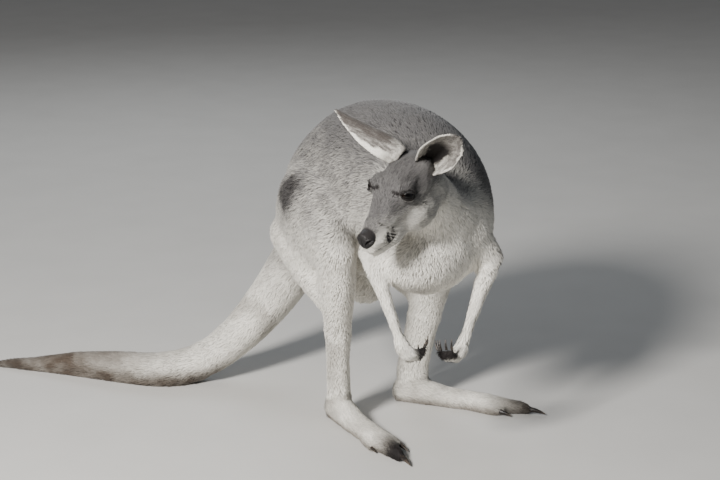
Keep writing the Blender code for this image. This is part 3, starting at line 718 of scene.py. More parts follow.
    # earth: along the tail where it lies, on the feet, and in faint patches on the forearm and limbs
    low = 1 - ramp(z + 0.012 * soft, 0.014, 0.072)
    far = ramp(y + 0.03 * soft, 0.15, 0.44)
    dirt = 0.95 * low * on("tail_floor", "tail_end", "tail_bend")
    dirt = dirt + 0.8 * (1 - ramp(z + 0.008 * soft, 0.006, 0.030)) * on("foot")
    for more in (
        (0.20 + 0.22 * cloud(points, 0.025, 7)) * on("foot"),
        np.maximum(*worn),
        (0.95 + 0.16 * cloud(points, 0.05, 9)) * far * on("tail_floor", "tail_end"),
        0.45 * mound(points, (-0.077, -0.481, 0.378), (0.030, 0.030, 0.020)),
        0.35 * ramp(cloud(points, 0.06, 8), 0.35, 0.8) * on("foot", "shank", "tail_bend"),
    ):
        dirt = np.maximum(dirt, more)
    # a darker stain on the right of the rump
    stain = mound(points, (-0.062, -0.074, 0.505), (0.055, 0.042, 0.050))
    stain += 0.30 * soft + 0.16 * cloud(points, 0.012, 11)
    grey = np.maximum(grey, ramp(stain, 0.25, 0.65))
    dark = np.maximum(dark, 0.62 * ramp(stain, 0.25, 0.80))
    # ears: brown-grey backs, cream edges, and painted shade that makes the hollow deep in the cup nearly
    # black
    cup_shade, cream, back, fringe, ear_streaks = (np.zeros(len(points)) for _ in range(5))
    back_tone = np.ones(len(points))
    for place in EAR_PLACES.values():
        e = in_frame(place, points)
        here = (leaf > 0.5) & np.all(np.abs(e - (0, 0.075, 0)) < EAR_REACH, axis=1)
        facing = normals @ np.array(place.to_3x3())[:, 2]
        inside = ramp(facing, 0.10, 0.42)
        share = np.clip(e[:, 1] / EAR_LENGTH, 0, 1)
        half = EAR_HALF_WIDTH * np.interp(share, EAR_SHARES, EAR_WIDTHS)
        middle = 1 - np.abs(e[:, 0]) / half
        streaks = cloud(e * np.array((1, 0.12, 0.3)), 0.0016, 5)
        # painted shade deep in the cup, towards its root and middle
        deep_cup_shade = inside * (1 - ramp(share + 0.07 * streaks, 0.30, 0.72))
        deep_cup_shade = deep_cup_shade * ramp(middle + 0.14 * streaks, 0.26, 0.60)
        edge = (1 - ramp(middle + 0.05 * streaks, 0.02, 0.10)) * ramp(share, 0.06, 0.24)
        root_white = 0.2 * (1 - ramp(share + 0.06 * streaks, 0.03, 0.28))
        fringe = np.where(here, np.maximum(edge, root_white), fringe)
        tone = (0.70 + 0.30 * ramp(middle, 0.1, 0.7)) * (0.72 + 0.28 * ramp(share, 0.08, 0.36))
        back_tone = np.where(here, tone + 0.30 * streaks, back_tone)
        ear_streaks = np.where(here, streaks, ear_streaks)
        cup_shade = np.where(here, np.maximum(cup_shade, deep_cup_shade), cup_shade)
        lining = inside * ramp(share, 0.08, 0.22)
        cream = np.where(here, np.maximum(cream, lining), cream)
        back = np.where(here, 1 - lining, back)
    back *= (1 - fringe) * back_tone
    lined = (0.60 + 0.26 * ear_streaks) * cream * (1 - 0.6 * fringe)
    grey = np.where(leaf > 0.5, 0.90 * back + lined + 0.05, grey)
    dirt = np.where(leaf > 0.5, 0.45 * back + 0.32 * cream * (1 - fringe), dirt)
    # painted shade: the deep hollow of each ear's cup is nearly black
    dark = np.where(leaf > 0.5, 0.95 * cup_shade, dark)
    sole = ramp(-normals[:, 2], 0.5, 0.85) * (1 - ramp(z, 0.004, 0.012)) * on("foot")
    mouth = ramp(lips, 0.5, 0.8) * head
    pad = ramp(nose, 0.55, 1.0)
    cup = 0.9 * cup_shade * (leaf > 0.5)
    bare = np.maximum.reduce([pad, 1 - ramp(gap, 0.0004, 0.0012), mouth, sole, cup])
    dark = np.maximum(dark, 0.75 * nose)
    marks = {"grey": grey, "dirt": dirt, "dark": dark, "nose": nose, "sole": sole, "bare": bare}
    # the hair is shorter and finer close round the eyes and the nose pad
    close = np.maximum(1 - ramp(gap, 0.002, 0.010), (1 - ramp(nose_pad(q), 1.0, 1.22)) * head)
    return {name: np.clip(values, 0, 1) for name, values in marks.items()}, close


EAR = REGION_NAMES.index("ear")
GREY_BLEND = 140  # rounds over which the grey of one part of the body runs on into the next
points = points_of(hide)
normals = normals_of(hide)
leaf = np.array([v[leaf_layer] for v in hide.verts])
rim_layer = hide.verts.layers.float["rim"]
rim = np.array([v[rim_layer] for v in hide.verts])
region = nearest_regions(points)
region = np.where(leaf > 0.5, EAR, region)
region = np.where((region == EAR) & (leaf < 0.5), REGION_NAMES.index("head"), region)
marks, close = markings(points, normals, region, leaf)
marks["rim"] = rim
pairs = pairs_of(hide)
merged = relaxed(marks["grey"][:, None], pairs, GREY_BLEND, 0.5)[:, 0]
marks["grey"] = np.where(region_is(region, "head", "eye", "ear", "hand"), marks["grey"], merged)
marks["bare"] = np.maximum(marks["bare"], ramp(rim, 0.1, 0.5))

# ---------------------------------------------------------------- 6. The lie of the coat
# Hair grows away from the nose, back over the head and neck, along the trunk and down the flanks,
# and down each limb to the toes. The way it lies is kept at each point of the hide.


def nearest_way(line, points):
    """Direction of a line of points, at the place on it nearest to each point."""
    line = np.array(line)
    best = np.full(len(points), 1e9)
    way = np.zeros((len(points), 3))
    for a, b in zip(line, line[1:]):
        ab = b - a
        t = np.clip(((points - a) @ ab) / (ab @ ab), 0, 1)
        d = np.linalg.norm(points - (a + t[:, None] * ab), axis=1)
        nearer = d < best
        best = np.where(nearer, d, best)
        way[nearer] = ab / np.linalg.norm(ab)
    return way, best


def lie_of_coat(points, normals, region, leaf):
    """The way the hair lies at each point, before it is turned into the plane of the hide."""
    way = np.zeros((len(points), 3))
    turn = np.array(HEAD.to_3x3())
    q = in_frame(HEAD, points)

    def lay(chosen, ways):
        way[chosen] = ways[chosen] if np.ndim(ways) > 1 else ways

    side = np.sign(q[:, 0])
    local = np.stack([0.10 * side, np.ones(len(q)), -0.55 * (1 - ramp(q[:, 2], -0.03, 0.03))], axis=1)
    local[:, 2] -= 0.5 * mound(np.abs(q), (0.03, 0.03, 0.0), (0.02, 0.02, 0.03))
    lay(region_is(region, "head", "eye"), local @ turn.T)
    nape, middle, root = (0, 0.18, -0.005), (0.041, -0.401, 0.480), (0.11, -0.30, 0.50)
    neck_way, _ = nearest_way([p[:] for p in (HEAD @ Vector(nape), Vector(middle), Vector(root))], points)
    throat = ramp(-(normals @ turn[:, 2]), -0.2, 0.6)
    neck_way = neck_way * (1 - 0.8 * throat)[:, None] + throat[:, None] * np.array((0.15, 0.15, -1.0))
    lay(region_is(region, "neck"), neck_way)
    trunk_way, _ = nearest_way(TRUNK_LINE, points)
    steep = 1 - np.abs(normals[:, 2])
    trunk_way = trunk_way + (steep * 0.75)[:, None] * np.array((0, 0, -1.0))
    front = ramp(normals @ np.array((-0.55, -0.80, -0.2)), 0.1, 0.6)
    front = front * ramp(mound(points, (-0.02, -0.47, 0.43), (0.15, 0.12, 0.13)), 0.05, 0.4)
    trunk_way = trunk_way * (1 - front)[:, None] + front[:, None] * np.array((0.15, 0.25, -1.0))
    lay(region_is(region, "trunk"), trunk_way)
    lay(region_is(region, "thigh"), (0.08, 0.50, -0.80))
    limbs = []  # a bone's line, the regions on it, how far they reach from it, and the sag of their hair
    for hip, knee, ankle, toe in LEG_LINES.values():
        limbs += [((knee, ankle), ("shank",), 0.11, 0.0), ((ankle, toe), ("foot",), 0.10, 0.0)]
    for shoulder, elbow, wrist in ARM_LINES.values():
        limbs += [((shoulder, elbow), ("upper_arm",), 0.10, 0.5)]
        limbs += [((elbow, wrist), ("forearm", "hand"), 0.09, 0.0)]
    for line, names, reach, sag in limbs:
        limb_way, d = nearest_way(line, points)
        lay(region_is(region, *names) & (d < reach), limb_way + np.array((0, 0, -sag)))
    tail_way, _ = nearest_way(TAIL_LINE, points)
    lay(region_is(region, "tail_root", "tail_bend", "tail_floor", "tail_end"), tail_way)
    for place in EAR_PLACES.values():
        e = in_frame(place, points)
        here = (leaf > 0.5) & (np.abs(e[:, 0]) < 0.06) & (np.abs(e[:, 2]) < 0.09) & (e[:, 1] > -0.05)
        out = np.array(place.to_3x3())
        lay(here, out[:, 1] + e[:, 0:1] / EAR_HALF_WIDTH * out[:, 0] * 0.12)
    return way


def laid(way, normals):
    """Directions turned into the plane of the hide."""
    way = way - normals * np.sum(way * normals, axis=1)[:, None]
    return way / np.maximum(np.linalg.norm(way, axis=1), 1e-6)[:, None]


way = laid(lie_of_coat(points, normals, region, leaf), normals)
way = laid(relaxed(way, pairs, 30, 0.5), normals)
facts = relaxed(table[region][:, :2], pairs, 16, 0.5)
facts[leaf > 0.5] = table[EAR][:2]
muzzle = region_is(region, "head", "eye") * (1 - ramp(in_frame(HEAD, points)[:, 1], 0.03, 0.15))
facts[:, 1] *= 1 - 0.22 * muzzle
facts[:, 0] *= 1 - 0.35 * muzzle
facts[:, 1] *= 1 - 0.32 * close

# ---------------------------------------------------------------- 7. The hide's finish
# The hide shows at the nose pad, lids, lips, soles and in the ears, and as shade between the tufts.
# It carries the coat's colours, darkened as painted shade between the tufts, with the grain of short hair
# where the coat lies flat.


def feed(tree, node, inputs):
    """Links a socket, or sets a plain value, on each of a shader node's inputs."""
    for key, value in inputs.items():
        if isinstance(value, bpy.types.NodeSocket):
            tree.links.new(value, node.inputs[key])
        else:
            node.inputs[key].default_value = value


def put(tree, kind, inputs=None, **settings):
    """Adds a shader node; its inputs are values, or sockets to link from."""
    made = tree.nodes.new("ShaderNode" + kind)
    for key, value in settings.items():
        setattr(made, key, value)
    feed(tree, made, inputs or {})
    return made


def blend(tree, share, a, b):
    return put(tree, "Mix", {0: share, 6: a, 7: b}, data_type="RGBA").outputs[2]


def maths(tree, operation, a, b=0.0, clamp=False):
    return put(tree, "Math", {0: a, 1: b}, operation=operation, use_clamp=clamp).outputs[0]


def times(tree, a, b, clamp=False):
    return maths(tree, "MULTIPLY", a, b, clamp)


def plus(tree, a, b):
    return maths(tree, "ADD", a, b)


def swing(tree, value, size):
    """How far a value stands from a half, times a size."""
    return times(tree, maths(tree, "SUBTRACT", value, 0.5), size)


def spread(tree, value, low, high, most=1.0, **settings):
    """0 where the value is low, and the most where it is high."""
    return put(tree, "MapRange", {0: value, 1: low, 2: high, 3: 0.0, 4: most}, **settings).outputs[0]


def noise(tree, place, scale, detail, roughness=0.5):
    inputs = {"Vector": place, "Scale": scale, "Detail": detail, "Roughness": roughness}
    return put(tree, "TexNoise", inputs).outputs[0]


def relief(tree, height, strength, distance):
    return put(tree, "Bump", {"Height": height, "Strength": strength, "Distance": distance}).outputs[0]


def group(name, takes, gives):
    """A node group with named inputs and outputs, and its two end nodes."""
    made = bpy.data.node_groups.new(name, "ShaderNodeTree")
    for label, kind, value in takes:
        socket = made.interface.new_socket(name=label, in_out="INPUT", socket_type="NodeSocket" + kind)
        if value is not None:
            socket.default_value = value
    for label, kind in gives:
        made.interface.new_socket(name=label, in_out="OUTPUT", socket_type="NodeSocket" + kind)
    return made, made.nodes.new("NodeGroupInput"), made.nodes.new("NodeGroupOutput")


def colour(red, green, blue):
    """A colour as a painter's chart gives it, 0 to 255, in the light the shader works in."""
    parts = [c / 255 for c in (red, green, blue)]
    return (*[c / 12.92 if c <= 0.04045 else ((c + 0.055) / 1.055) ** 2.4 for c in parts], 1)


CREAM = colour(234, 228, 214)
SNOW = colour(244, 241, 234)
SLATE = colour(68, 66, 66)
SILVER = colour(136, 133, 131)
EARTH = colour(80, 69, 59)
BLACK = colour(26, 21, 20)


def coat_colours():
    """Colour of the coat from its markings, with mottling, silvered tips, painted shade deep towards each
    tuft's root, and tufts of unequal tone.
    """
    tree, take, give = group(
        "coat colours",
        (
            ("Place", "Vector", None),
            ("Grey", "Float", 0.5),
            ("Earth", "Float", 0.0),
            ("Dark", "Float", 0.0),
            ("Tuft", "Float", 0.5),
            ("Tip", "Float", 0.5),
        ),
        (("Color", "Color"), ("Mottle", "Float")),
    )
    place, tip = take.outputs["Place"], take.outputs["Tip"]
    tuft, earth = take.outputs["Tuft"], take.outputs["Earth"]
    wide = noise(tree, place, 22.0, 3.0, 0.6)
    close = noise(tree, place, 150.0, 3.0, 0.65)
    # the grey's edge wanders with the mottling and from tuft to tuft
    shift = plus(tree, swing(tree, wide, 0.45), swing(tree, close, 0.26))
    each = swing(tree, tuft, 0.28)
    grey = plus(tree, plus(tree, take.outputs["Grey"], shift), each)
    edge = spread(tree, grey, 0.08, 0.92, interpolation_type="SMOOTHSTEP")
    tips = times(tree, maths(tree, "POWER", tip, 1.6), 0.55)
    fur = blend(tree, edge, blend(tree, close, CREAM, SNOW), blend(tree, tips, SLATE, SILVER))
    earthy = times(tree, earth, plus(tree, times(tree, wide, 0.7), 0.62), True)
    fur = blend(tree, earthy, fur, EARTH)
    black = spread(tree, plus(tree, take.outputs["Dark"], times(tree, each, 0.8)), 0.15, 0.85)
    fur = blend(tree, black, fur, BLACK)
    # painted shade: deep between the tufts, towards each tuft's root, the coat is darker; and tufts differ a
    # little in tone
    tone = plus(tree, times(tree, tip, 0.42), 0.64)
    tone = plus(tree, tone, swing(tree, tuft, 0.30))
    tone = plus(tree, tone, swing(tree, close, 0.36))
    shade = put(tree, "HueSaturation", {"Value": tone, "Color": fur})
    feed(tree, give, {"Color": shade.outputs[0], "Mottle": wide})
    return tree


def hair_grain():
    """Height of fine hair drawn out along the way it lies."""
    tree, take, give = group(
        "hair grain",
        (("Place", "Vector", None), ("Way", "Vector", None), ("Fineness", "Float", 900.0)),
        (("Height", "Float"),),
    )
    place, lie, fineness = (take.outputs[label] for label in ("Place", "Way", "Fineness"))
    along = put(tree, "VectorMath", {0: place, 1: lie}, operation="DOT_PRODUCT").outputs["Value"]
    back = put(tree, "VectorMath", {0: lie, "Scale": times(tree, along, 0.9)}, operation="SCALE").outputs[0]
    drawn = put(tree, "VectorMath", {0: place, 1: back}, operation="SUBTRACT").outputs[0]
    fine = noise(tree, drawn, fineness, 2.0)
    locks = noise(tree, drawn, times(tree, fineness, 0.25), 2.0)
    feed(tree, give, {"Height": plus(tree, times(tree, fine, 0.6), times(tree, locks, 0.4))})
    return tree


COAT_COLOURS = coat_colours()
HAIR_GRAIN = hair_grain()


def new_material(name):
    made = bpy.data.materials.new(name)
    made.use_nodes = True
    return made, made.node_tree, made.node_tree.nodes["Principled BSDF"]


def mark(tree, name, vector=False):
    made = put(tree, "Attribute", attribute_name=name)
    return made.outputs["Vector" if vector else "Fac"]


def object_place(tree):
    return put(tree, "TexCoord").outputs["Object"]


def grain_here(tree, fineness):
    """The height of hair or horn drawn out along the way kept on the mesh."""
    inputs = {"Place": object_place(tree), "Way": mark(tree, "way", True), "Fineness": fineness}
    return put(tree, "Group", inputs, node_tree=HAIR_GRAIN).outputs[0]


def coat_here(tree, place, tuft, tip):
    """The coat's colour from the marks kept on the mesh."""
    inputs = {"Place": place, "Tuft": tuft, "Tip": tip}
    inputs.update({"Grey": mark(tree, "grey"), "Earth": mark(tree, "dirt"), "Dark": mark(tree, "dark")})
    return put(tree, "Group", inputs, node_tree=COAT_COLOURS).outputs["Color"]


def hide_material():
    made, tree, shader = new_material("hide")
    # painted shade: the hide takes the coat's colour as it is near a tuft's root, darker, as shade between
    # the tufts
    coat = coat_here(tree, object_place(tree), 0.5, 0.30)
    grain = grain_here(tree, 900.0)
    # bare leather: pebbled on the nose pad, with a painted sheen lighter on its top and painted shade darker
    # on its underside, black and damp on the lids' edges, worn brown on the soles
    inputs = {"Vector": object_place(tree), "Scale": 620.0}
    pebbles = put(tree, "TexVoronoi", inputs, feature="SMOOTH_F1").outputs["Distance"]
    nose, rims, sole = mark(tree, "nose"), mark(tree, "rim"), mark(tree, "sole")
    # painted sheen and shade on the nose pad: lighter where it faces up, darker where it faces down
    up = put(tree, "SeparateXYZ", {0: put(tree, "NewGeometry").outputs["Normal"]}).outputs[2]
    top = blend(tree, spread(tree, up, -0.25, 0.75), colour(14, 13, 13), colour(44, 40, 39))
    base = blend(tree, nose, coat, blend(tree, pebbles, top, colour(16, 14, 14)))
    base = blend(tree, rims, base, colour(20, 16, 15))
    base = blend(tree, sole, base, colour(66, 52, 42))
    damp = plus(tree, times(tree, rims, 0.50), times(tree, nose, 0.36))
    rough = maths(tree, "SUBTRACT", plus(tree, times(tree, grain, 0.12), 0.80), damp, True)
    furred = maths(tree, "SUBTRACT", 1.0, maths(tree, "MAXIMUM", nose, rims), True)
    pebbled = times(tree, pebbles, times(tree, maths(tree, "MAXIMUM", nose, sole), 1.2))
    height = maths(tree, "SUBTRACT", times(tree, grain, furred), pebbled)
    look = {"Base Color": base, "Roughness": rough, "Normal": relief(tree, height, 0.7, 0.0009)}
    feed(tree, shader, {**look, "Specular IOR Level": 0.35})
    return made


def float_mark(mesh, name, values):
    layer = mesh.attributes.new(name, "FLOAT", "POINT")
    layer.data.foreach_set("value", np.ascontiguousarray(values, dtype=np.float32))


def vector_mark(mesh, name, values):
    layer = mesh.attributes.new(name, "FLOAT_VECTOR", "POINT")
    layer.data.foreach_set("vector", np.ascontiguousarray(values, dtype=np.float32).ravel())


def piece(name, mesh, material, slot, *replaced):
    """A finished piece of the model: smooth, of one material, and fixed to the one body."""
    mesh.polygons.foreach_set("use_smooth", np.ones(len(mesh.polygons), dtype=bool))
    mesh.materials.append(material)
    obj = new_object(name, mesh)
    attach(obj, "root")
    if replaced:
        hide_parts(*replaced)
    return obj


mesh = as_mesh(hide, "hide")
for layer in ("rim", "leaf"):
    mesh.attributes.remove(mesh.attributes[layer])
for name, values in marks.items():
    float_mark(mesh, name, values)
vector_mark(mesh, "way", way)
FLESH = sorted(n for n in NODES if not n.startswith(("claw", "eye")))
hide_piece = piece("hide", mesh, hide_material(), "grey_coat", *FLESH)

# ---------------------------------------------------------------- 8. Glass eyes
# Each eye is a blown glass ball, painted from behind: a dark brown iris round a wide black pupil,
# a near-black white of the eye, and a clear swelling over the front that holds the light.


def eye_material():
    made, tree, shader = new_material("eye_glass")
    gaze = mark(tree, "gaze", True)
    split = put(tree, "SeparateXYZ", {0: gaze})
    left, up = split.outputs[0], split.outputs[1]
    # the pupil is a little wider than high
    off = [maths(tree, "POWER", maths(tree, "ABSOLUTE", v), 2.0) for v in (times(tree, left, 0.84), up)]
    off = maths(tree, "SQRT", plus(tree, *off))
    turn = times(tree, maths(tree, "ARCTAN2", up, left), 9.0)
    spokes = put(tree, "CombineXYZ", {0: turn, 1: times(tree, off, 3.0)}).outputs[0]
    iris = blend(tree, noise(tree, spokes, 3.0, 4.0), colour(8, 6, 5), colour(22, 14, 10))
    base = blend(tree, spread(tree, off, 0.46, 0.54), colour(5, 4, 4), iris)
    veins = noise(tree, gaze, 14.0, 4.0)
    white = blend(tree, veins, colour(9, 7, 6), colour(20, 15, 13))
    base = blend(tree, spread(tree, off, 0.70, 0.80), base, white)
    rough = plus(tree, times(tree, veins, 0.05), 0.05)
    look = {"Base Color": base, "Roughness": rough, "IOR": 1.34, "Specular IOR Level": 0.30}
    feed(tree, shader, {**look, "Coat Weight": 0.08, "Coat Roughness": 0.02})
    return made


EYE_GLASS = eye_material()


def glass_eye(name):
    """A ball with a clear swelling over its front, and each point's own direction kept for the painting."""
    bm = bmesh.new()
    bmesh.ops.create_uvsphere(bm, u_segments=64, v_segments=40, radius=1.0)
    gaze = bm.verts.layers.float_vector.new("gaze")
    for v in bm.verts:
        v[gaze] = v.co.copy()
        front = math.acos(max(-1.0, min(1.0, v.co.z)))
        swell = 0.00070 * (1 - min(front / 0.70, 1.0) ** 2) ** 2
        v.co = EYES[name] @ (v.co * (EYE_BALL + swell))
    return piece("glass_eye_" + name, as_mesh(bm, "glass_eye_" + name), EYE_GLASS, "eye", "eye_" + name)


for name in SIDES:
    glass_eye(name)

# ---------------------------------------------------------------- 9. Claws
# Each claw is solid horn grown over the last bone of a toe or finger: long and heavy on the middle
# toes, curved and narrow on the fingers, black at the root and worn paler and scratched at the tip.


def claw_material():
    made, tree, shader = new_material("claw_horn")
    grain = grain_here(tree, 1400.0)
    worn = spread(tree, plus(tree, mark(tree, "share"), times(tree, grain, 0.25)), 0.75, 1.25)
    horn = blend(tree, worn, colour(24, 20, 18), colour(92, 80, 68))
    dust = spread(tree, noise(tree, object_place(tree), 260.0, 3.0), 0.52, 0.80, 0.6)
    rough = plus(tree, plus(tree, times(tree, grain, 0.25), times(tree, dust, 0.4)), 0.28)
    look = {"Roughness": rough, "Normal": relief(tree, grain, 0.45, 0.0004)}
    feed(tree, shader, {**look, "Base Color": blend(tree, dust, horn, colour(110, 92, 74))})
    return made


CLAW_HORN = claw_material()
CLAWS = sorted(n for n in NODES if n.startswith("claw"))


def horn_claw(name):
    """The claw's solid with its edges rounded away and its length marked from root to tip."""
    mesh = rounded(name)
    mesh.name = name.replace("claw", "horn")
    points = mesh_points(mesh)
    centre = points.mean(axis=0)
    _, _, axes = np.linalg.svd(points - centre)
    along = (points - centre) @ axes[0]
    wide = np.linalg.norm(points - centre - along[:, None] * axes[0], axis=1)
    if wide[along > 0].mean() > wide[along < 0].mean():
        along, axes = -along, -axes
    share = (along - along.min()) / (along.max() - along.min())
    float_mark(mesh, "share", share)
    vector_mark(mesh, "way", np.tile(axes[0], (len(points), 1)))
    return piece(mesh.name, mesh, CLAW_HORN, "claw", name)


for name in CLAWS:
    horn_claw(name)

# ---------------------------------------------------------------- 10. The coat
# The coat is short dense hair. Each tuft is a thin tapering spike rooted in the hide, which leans
# over along the lie of the coat and overlaps the next, finest on the muzzle, ears and hands.

rng = np.random.default_rng(11)
TUFT_POINTS = 7
TUFT_TIPS = (0.0, 0.15, 0.0, 0.45, 0.6, 0.45, 1.0)  # how near each point of a tuft is to its tip
LEAST_HEIGHT = 0.0003  # no hair goes through the floor
MOST_TRIANGLES = 200000


def coat_material():
    made, tree, shader = new_material("coat_hair")
    coat = coat_here(tree, mark(tree, "root", True), mark(tree, "tuft"), mark(tree, "tip"))
    grain = grain_here(tree, 1600.0)
    rough = plus(tree, times(tree, grain, 0.25), 0.62)
    look = {"Base Color": coat, "Roughness": rough, "Normal": relief(tree, grain, 0.5, 0.0006)}
    feed(tree, shader, {**look, "Specular IOR Level": 0.30, "Sheen Weight": 0.10, "Sheen Roughness": 0.45})
    return made


COAT_HAIR = coat_material()
MARKS = ("grey", "dirt", "dark")


def rooted(triangles, corners, spacing, bare):
    """Places for tufts over some of the hide's triangles, closer where the coat is finer."""
    a, b, c = (corners[triangles[:, k]] for k in range(3))
    area = np.linalg.norm(np.cross(b - a, c - a), axis=1) / 2
    gap = spacing[triangles].mean(axis=1)
    wanted = area / gap**2 * (1 - ramp(bare[triangles].max(axis=1), 0.35, 0.6))
    count = np.floor(wanted + rng.random(len(wanted))).astype(int)
    which = np.repeat(np.arange(len(triangles)), count)
    u, v = rng.random(len(which)), rng.random(len(which))
    fold = u + v > 1
    u[fold], v[fold] = 1 - u[fold], 1 - v[fold]
    return which, np.stack([1 - u - v, u, v], axis=1)


def tufts(root, normal, lean, height, length, width, curl):
    """Points and faces of spikes: a ring of three in the hide, a ring of three half way, and the tip."""
    n = len(root)
    side = np.cross(lean, normal)
    base = root - normal * (np.minimum(0.10 * length, 0.0014) + 0.0004)[:, None]
    middle = root + lean * (0.48 * length)[:, None] + normal * (0.62 * height)[:, None]
    tip = root + lean * length[:, None] + normal * height[:, None] + side * (curl * length)[:, None]
    half = (width / 2)[:, None]
    points = np.empty((n, TUFT_POINTS, 3))
    radial = np.empty((n, TUFT_POINTS, 3))
    for ring, (centre, scale) in enumerate(((base, 1.0), (middle, 0.80))):
        for k, (s, h) in enumerate(((-1.0, 0.0), (0.0, 0.75), (1.0, 0.0))):
            points[:, ring * 3 + k] = centre + (side * s + normal * h) * half * scale
            radial[:, ring * 3 + k] = side * s + normal * h
    points[:, 6] = tip
    radial[:, 6] = lean * 0.5
    shading = normal[:, None, :] * 1.0 + radial * 0.55 + lean[:, None, :] * 0.12
    shading /= np.linalg.norm(shading, axis=2)[:, :, None]
    one = []
    for k in range(3):
        j = (k + 1) % 3
        one += [(k, j, k + 3), (j, j + 3, k + 3), (k + 3, j + 3, 6)]
    faces = (np.array(one)[None] + TUFT_POINTS * np.arange(n)[:, None, None]).reshape(-1, 3)
    return points.reshape(-1, 3), shading.reshape(-1, 3), faces


def flat_pattern(mesh):
    """The hide's own shape laid out flat in charts, and a tree to find a root's place in it."""
    obj = new_object("pattern", mesh)
    bpy.context.view_layer.objects.active = obj
    for other in bpy.context.selected_objects:
        other.select_set(False)
    obj.select_set(True)
    bpy.ops.object.mode_set(mode="EDIT")
    bpy.ops.mesh.select_all(action="SELECT")
    bpy.ops.uv.smart_project(angle_limit=math.radians(66), island_margin=0.004)
    bpy.ops.object.mode_set(mode="OBJECT")
    mesh.calc_loop_triangles()
    points = [v.co.copy() for v in mesh.vertices]
    tris = [tuple(t.vertices) for t in mesh.loop_triangles]
    loops = np.array([tuple(t.loops) for t in mesh.loop_triangles])
    uv = np.zeros(len(mesh.loops) * 2)
    mesh.uv_layers.active.data.foreach_get("uv", uv)
    uv = uv.reshape(-1, 2)[loops]
    bpy.data.objects.remove(obj)
    return BVHTree.FromPolygons(points, tris), np.array([p[:] for p in points])[np.array(tris)], uv


def flat_places(pattern, roots):
    tree, corners, uv = pattern
    found = [tree.find_nearest(Vector(p)) for p in roots]
    index = np.array([f[2] for f in found])
    hit = np.array([f[0][:] for f in found])
    a, b, c = (corners[index, k] for k in range(3))
    ab, ac, ap = b - a, c - a, hit - a
    d00, d01, d11 = (np.sum(x * y, axis=1) for x, y in ((ab, ab), (ab, ac), (ac, ac)))
    d20, d21 = np.sum(ap * ab, axis=1), np.sum(ap * ac, axis=1)
    scale = np.maximum(d00 * d11 - d01 * d01, 1e-16)
    v = (d11 * d20 - d01 * d21) / scale
    w = (d00 * d21 - d01 * d20) / scale
    share = np.clip(np.stack([1 - v - w, v, w], axis=1), 0, 1)
    share /= share.sum(axis=1)[:, None]
    return np.sum(uv[index] * share[:, :, None], axis=1)


TUFT_FACTS = ("root", "normal", "lean", "height", "length", "width", "curl")


def build_coat(name, facts, slot, pattern):
    """One piece of the coat, from each tuft's root, way, height, length, width, curl and marks."""
    points, shading, faces = tufts(*(facts[k] for k in TUFT_FACTS))
    if len(faces) >= MOST_TRIANGLES:
        raise ValueError(f"{name} has {len(faces)} triangles")
    points[:, 2] = np.maximum(points[:, 2], LEAST_HEIGHT)
    mesh = bpy.data.meshes.new(name)
    mesh.vertices.add(len(points))
    mesh.vertices.foreach_set("co", points.ravel())
    mesh.loops.add(len(faces) * 3)
    mesh.loops.foreach_set("vertex_index", faces.ravel())
    mesh.polygons.add(len(faces))
    mesh.polygons.foreach_set("loop_start", np.arange(len(faces)) * 3)
    mesh.polygons.foreach_set("loop_total", np.full(len(faces), 3))
    mesh.update(calc_edges=True)
    mesh.polygons.foreach_set("use_smooth", np.ones(len(faces), dtype=bool))
    for label in (*MARKS, "tuft"):
        float_mark(mesh, label, np.repeat(facts[label], TUFT_POINTS))
    float_mark(mesh, "tip", np.tile(TUFT_TIPS, len(facts["tuft"])))
    vector_mark(mesh, "root", np.repeat(facts["root"], TUFT_POINTS, axis=0))
    vector_mark(mesh, "way", np.repeat(facts["lean"], TUFT_POINTS, axis=0))
    # each tuft is a small patch at its root's place on the hide's flat pattern
    centre = flat_places(pattern, facts["root"]) * 0.99 + 0.005
    patch = np.array(((-1, -1), (0, -1), (1, -1), (-0.8, 0.1), (0, 0.2), (0.8, 0.1), (0, 1))) * 0.0015
    spots = (centre[:, None, :] + patch[None]).reshape(-1, 2)
    flat = mesh.uv_layers.new(name="OFBake")
    flat.data.foreach_set("uv", spots[faces.ravel()].astype(np.float32).ravel())
    mesh.normals_split_custom_set_from_vertices(shading.tolist())
    return piece(name, mesh, COAT_HAIR, slot)


mesh = hide_piece.data
mesh.calc_loop_triangles()
triangles = np.zeros(len(mesh.loop_triangles) * 3, dtype=np.int64)
mesh.loop_triangles.foreach_get("vertices", triangles)
triangles = triangles.reshape(-1, 3)

# the coat's pieces: where on the hide each grows, and its slot
UPPER_HALF = 0.47  # height that parts the back from the belly
FACE_END = 0.095  # how far back from the nose pad the face goes
upper = points[:, 2] > UPPER_HALF
ahead = in_frame(HEAD, points)[:, 1] < FACE_END
right = in_frame(Matrix.Translation(Vector(TRUNK_LINE[4])), points)[:, 0] < 0
right_leg = points[:, 0] < 0.10
head, trunk, thigh = (region_is(region, *names) for names in (("head", "eye"), ("trunk",), ("thigh",)))
COAT_PIECES = {
    "coat_face": (head & ahead, "grey_coat"),
    "coat_crown": (head & ~ahead, "grey_coat"),
    "coat_ears": (region_is(region, "ear"), "ear"),
    "coat_neck": (region_is(region, "neck"), "grey_coat"),
    "coat_back_right": (trunk & upper & right, "grey_coat"),
    "coat_back_left": (trunk & upper & ~right, "grey_coat"),
    "coat_belly": (trunk & ~upper, "pale_coat"),
    "coat_thigh_right": (thigh & right_leg, "grey_coat"),
    "coat_thigh_left": (thigh & ~right_leg, "grey_coat"),
    "coat_legs": (region_is(region, "shank", "foot"), "pale_coat"),
    "coat_arms": (region_is(region, "upper_arm", "forearm", "hand"), "pale_coat"),
    "coat_tail_upper": (region_is(region, "tail_root", "tail_bend"), "pale_coat"),
    "coat_tail_lower": (region_is(region, "tail_floor", "tail_end"), "pale_coat"),
}

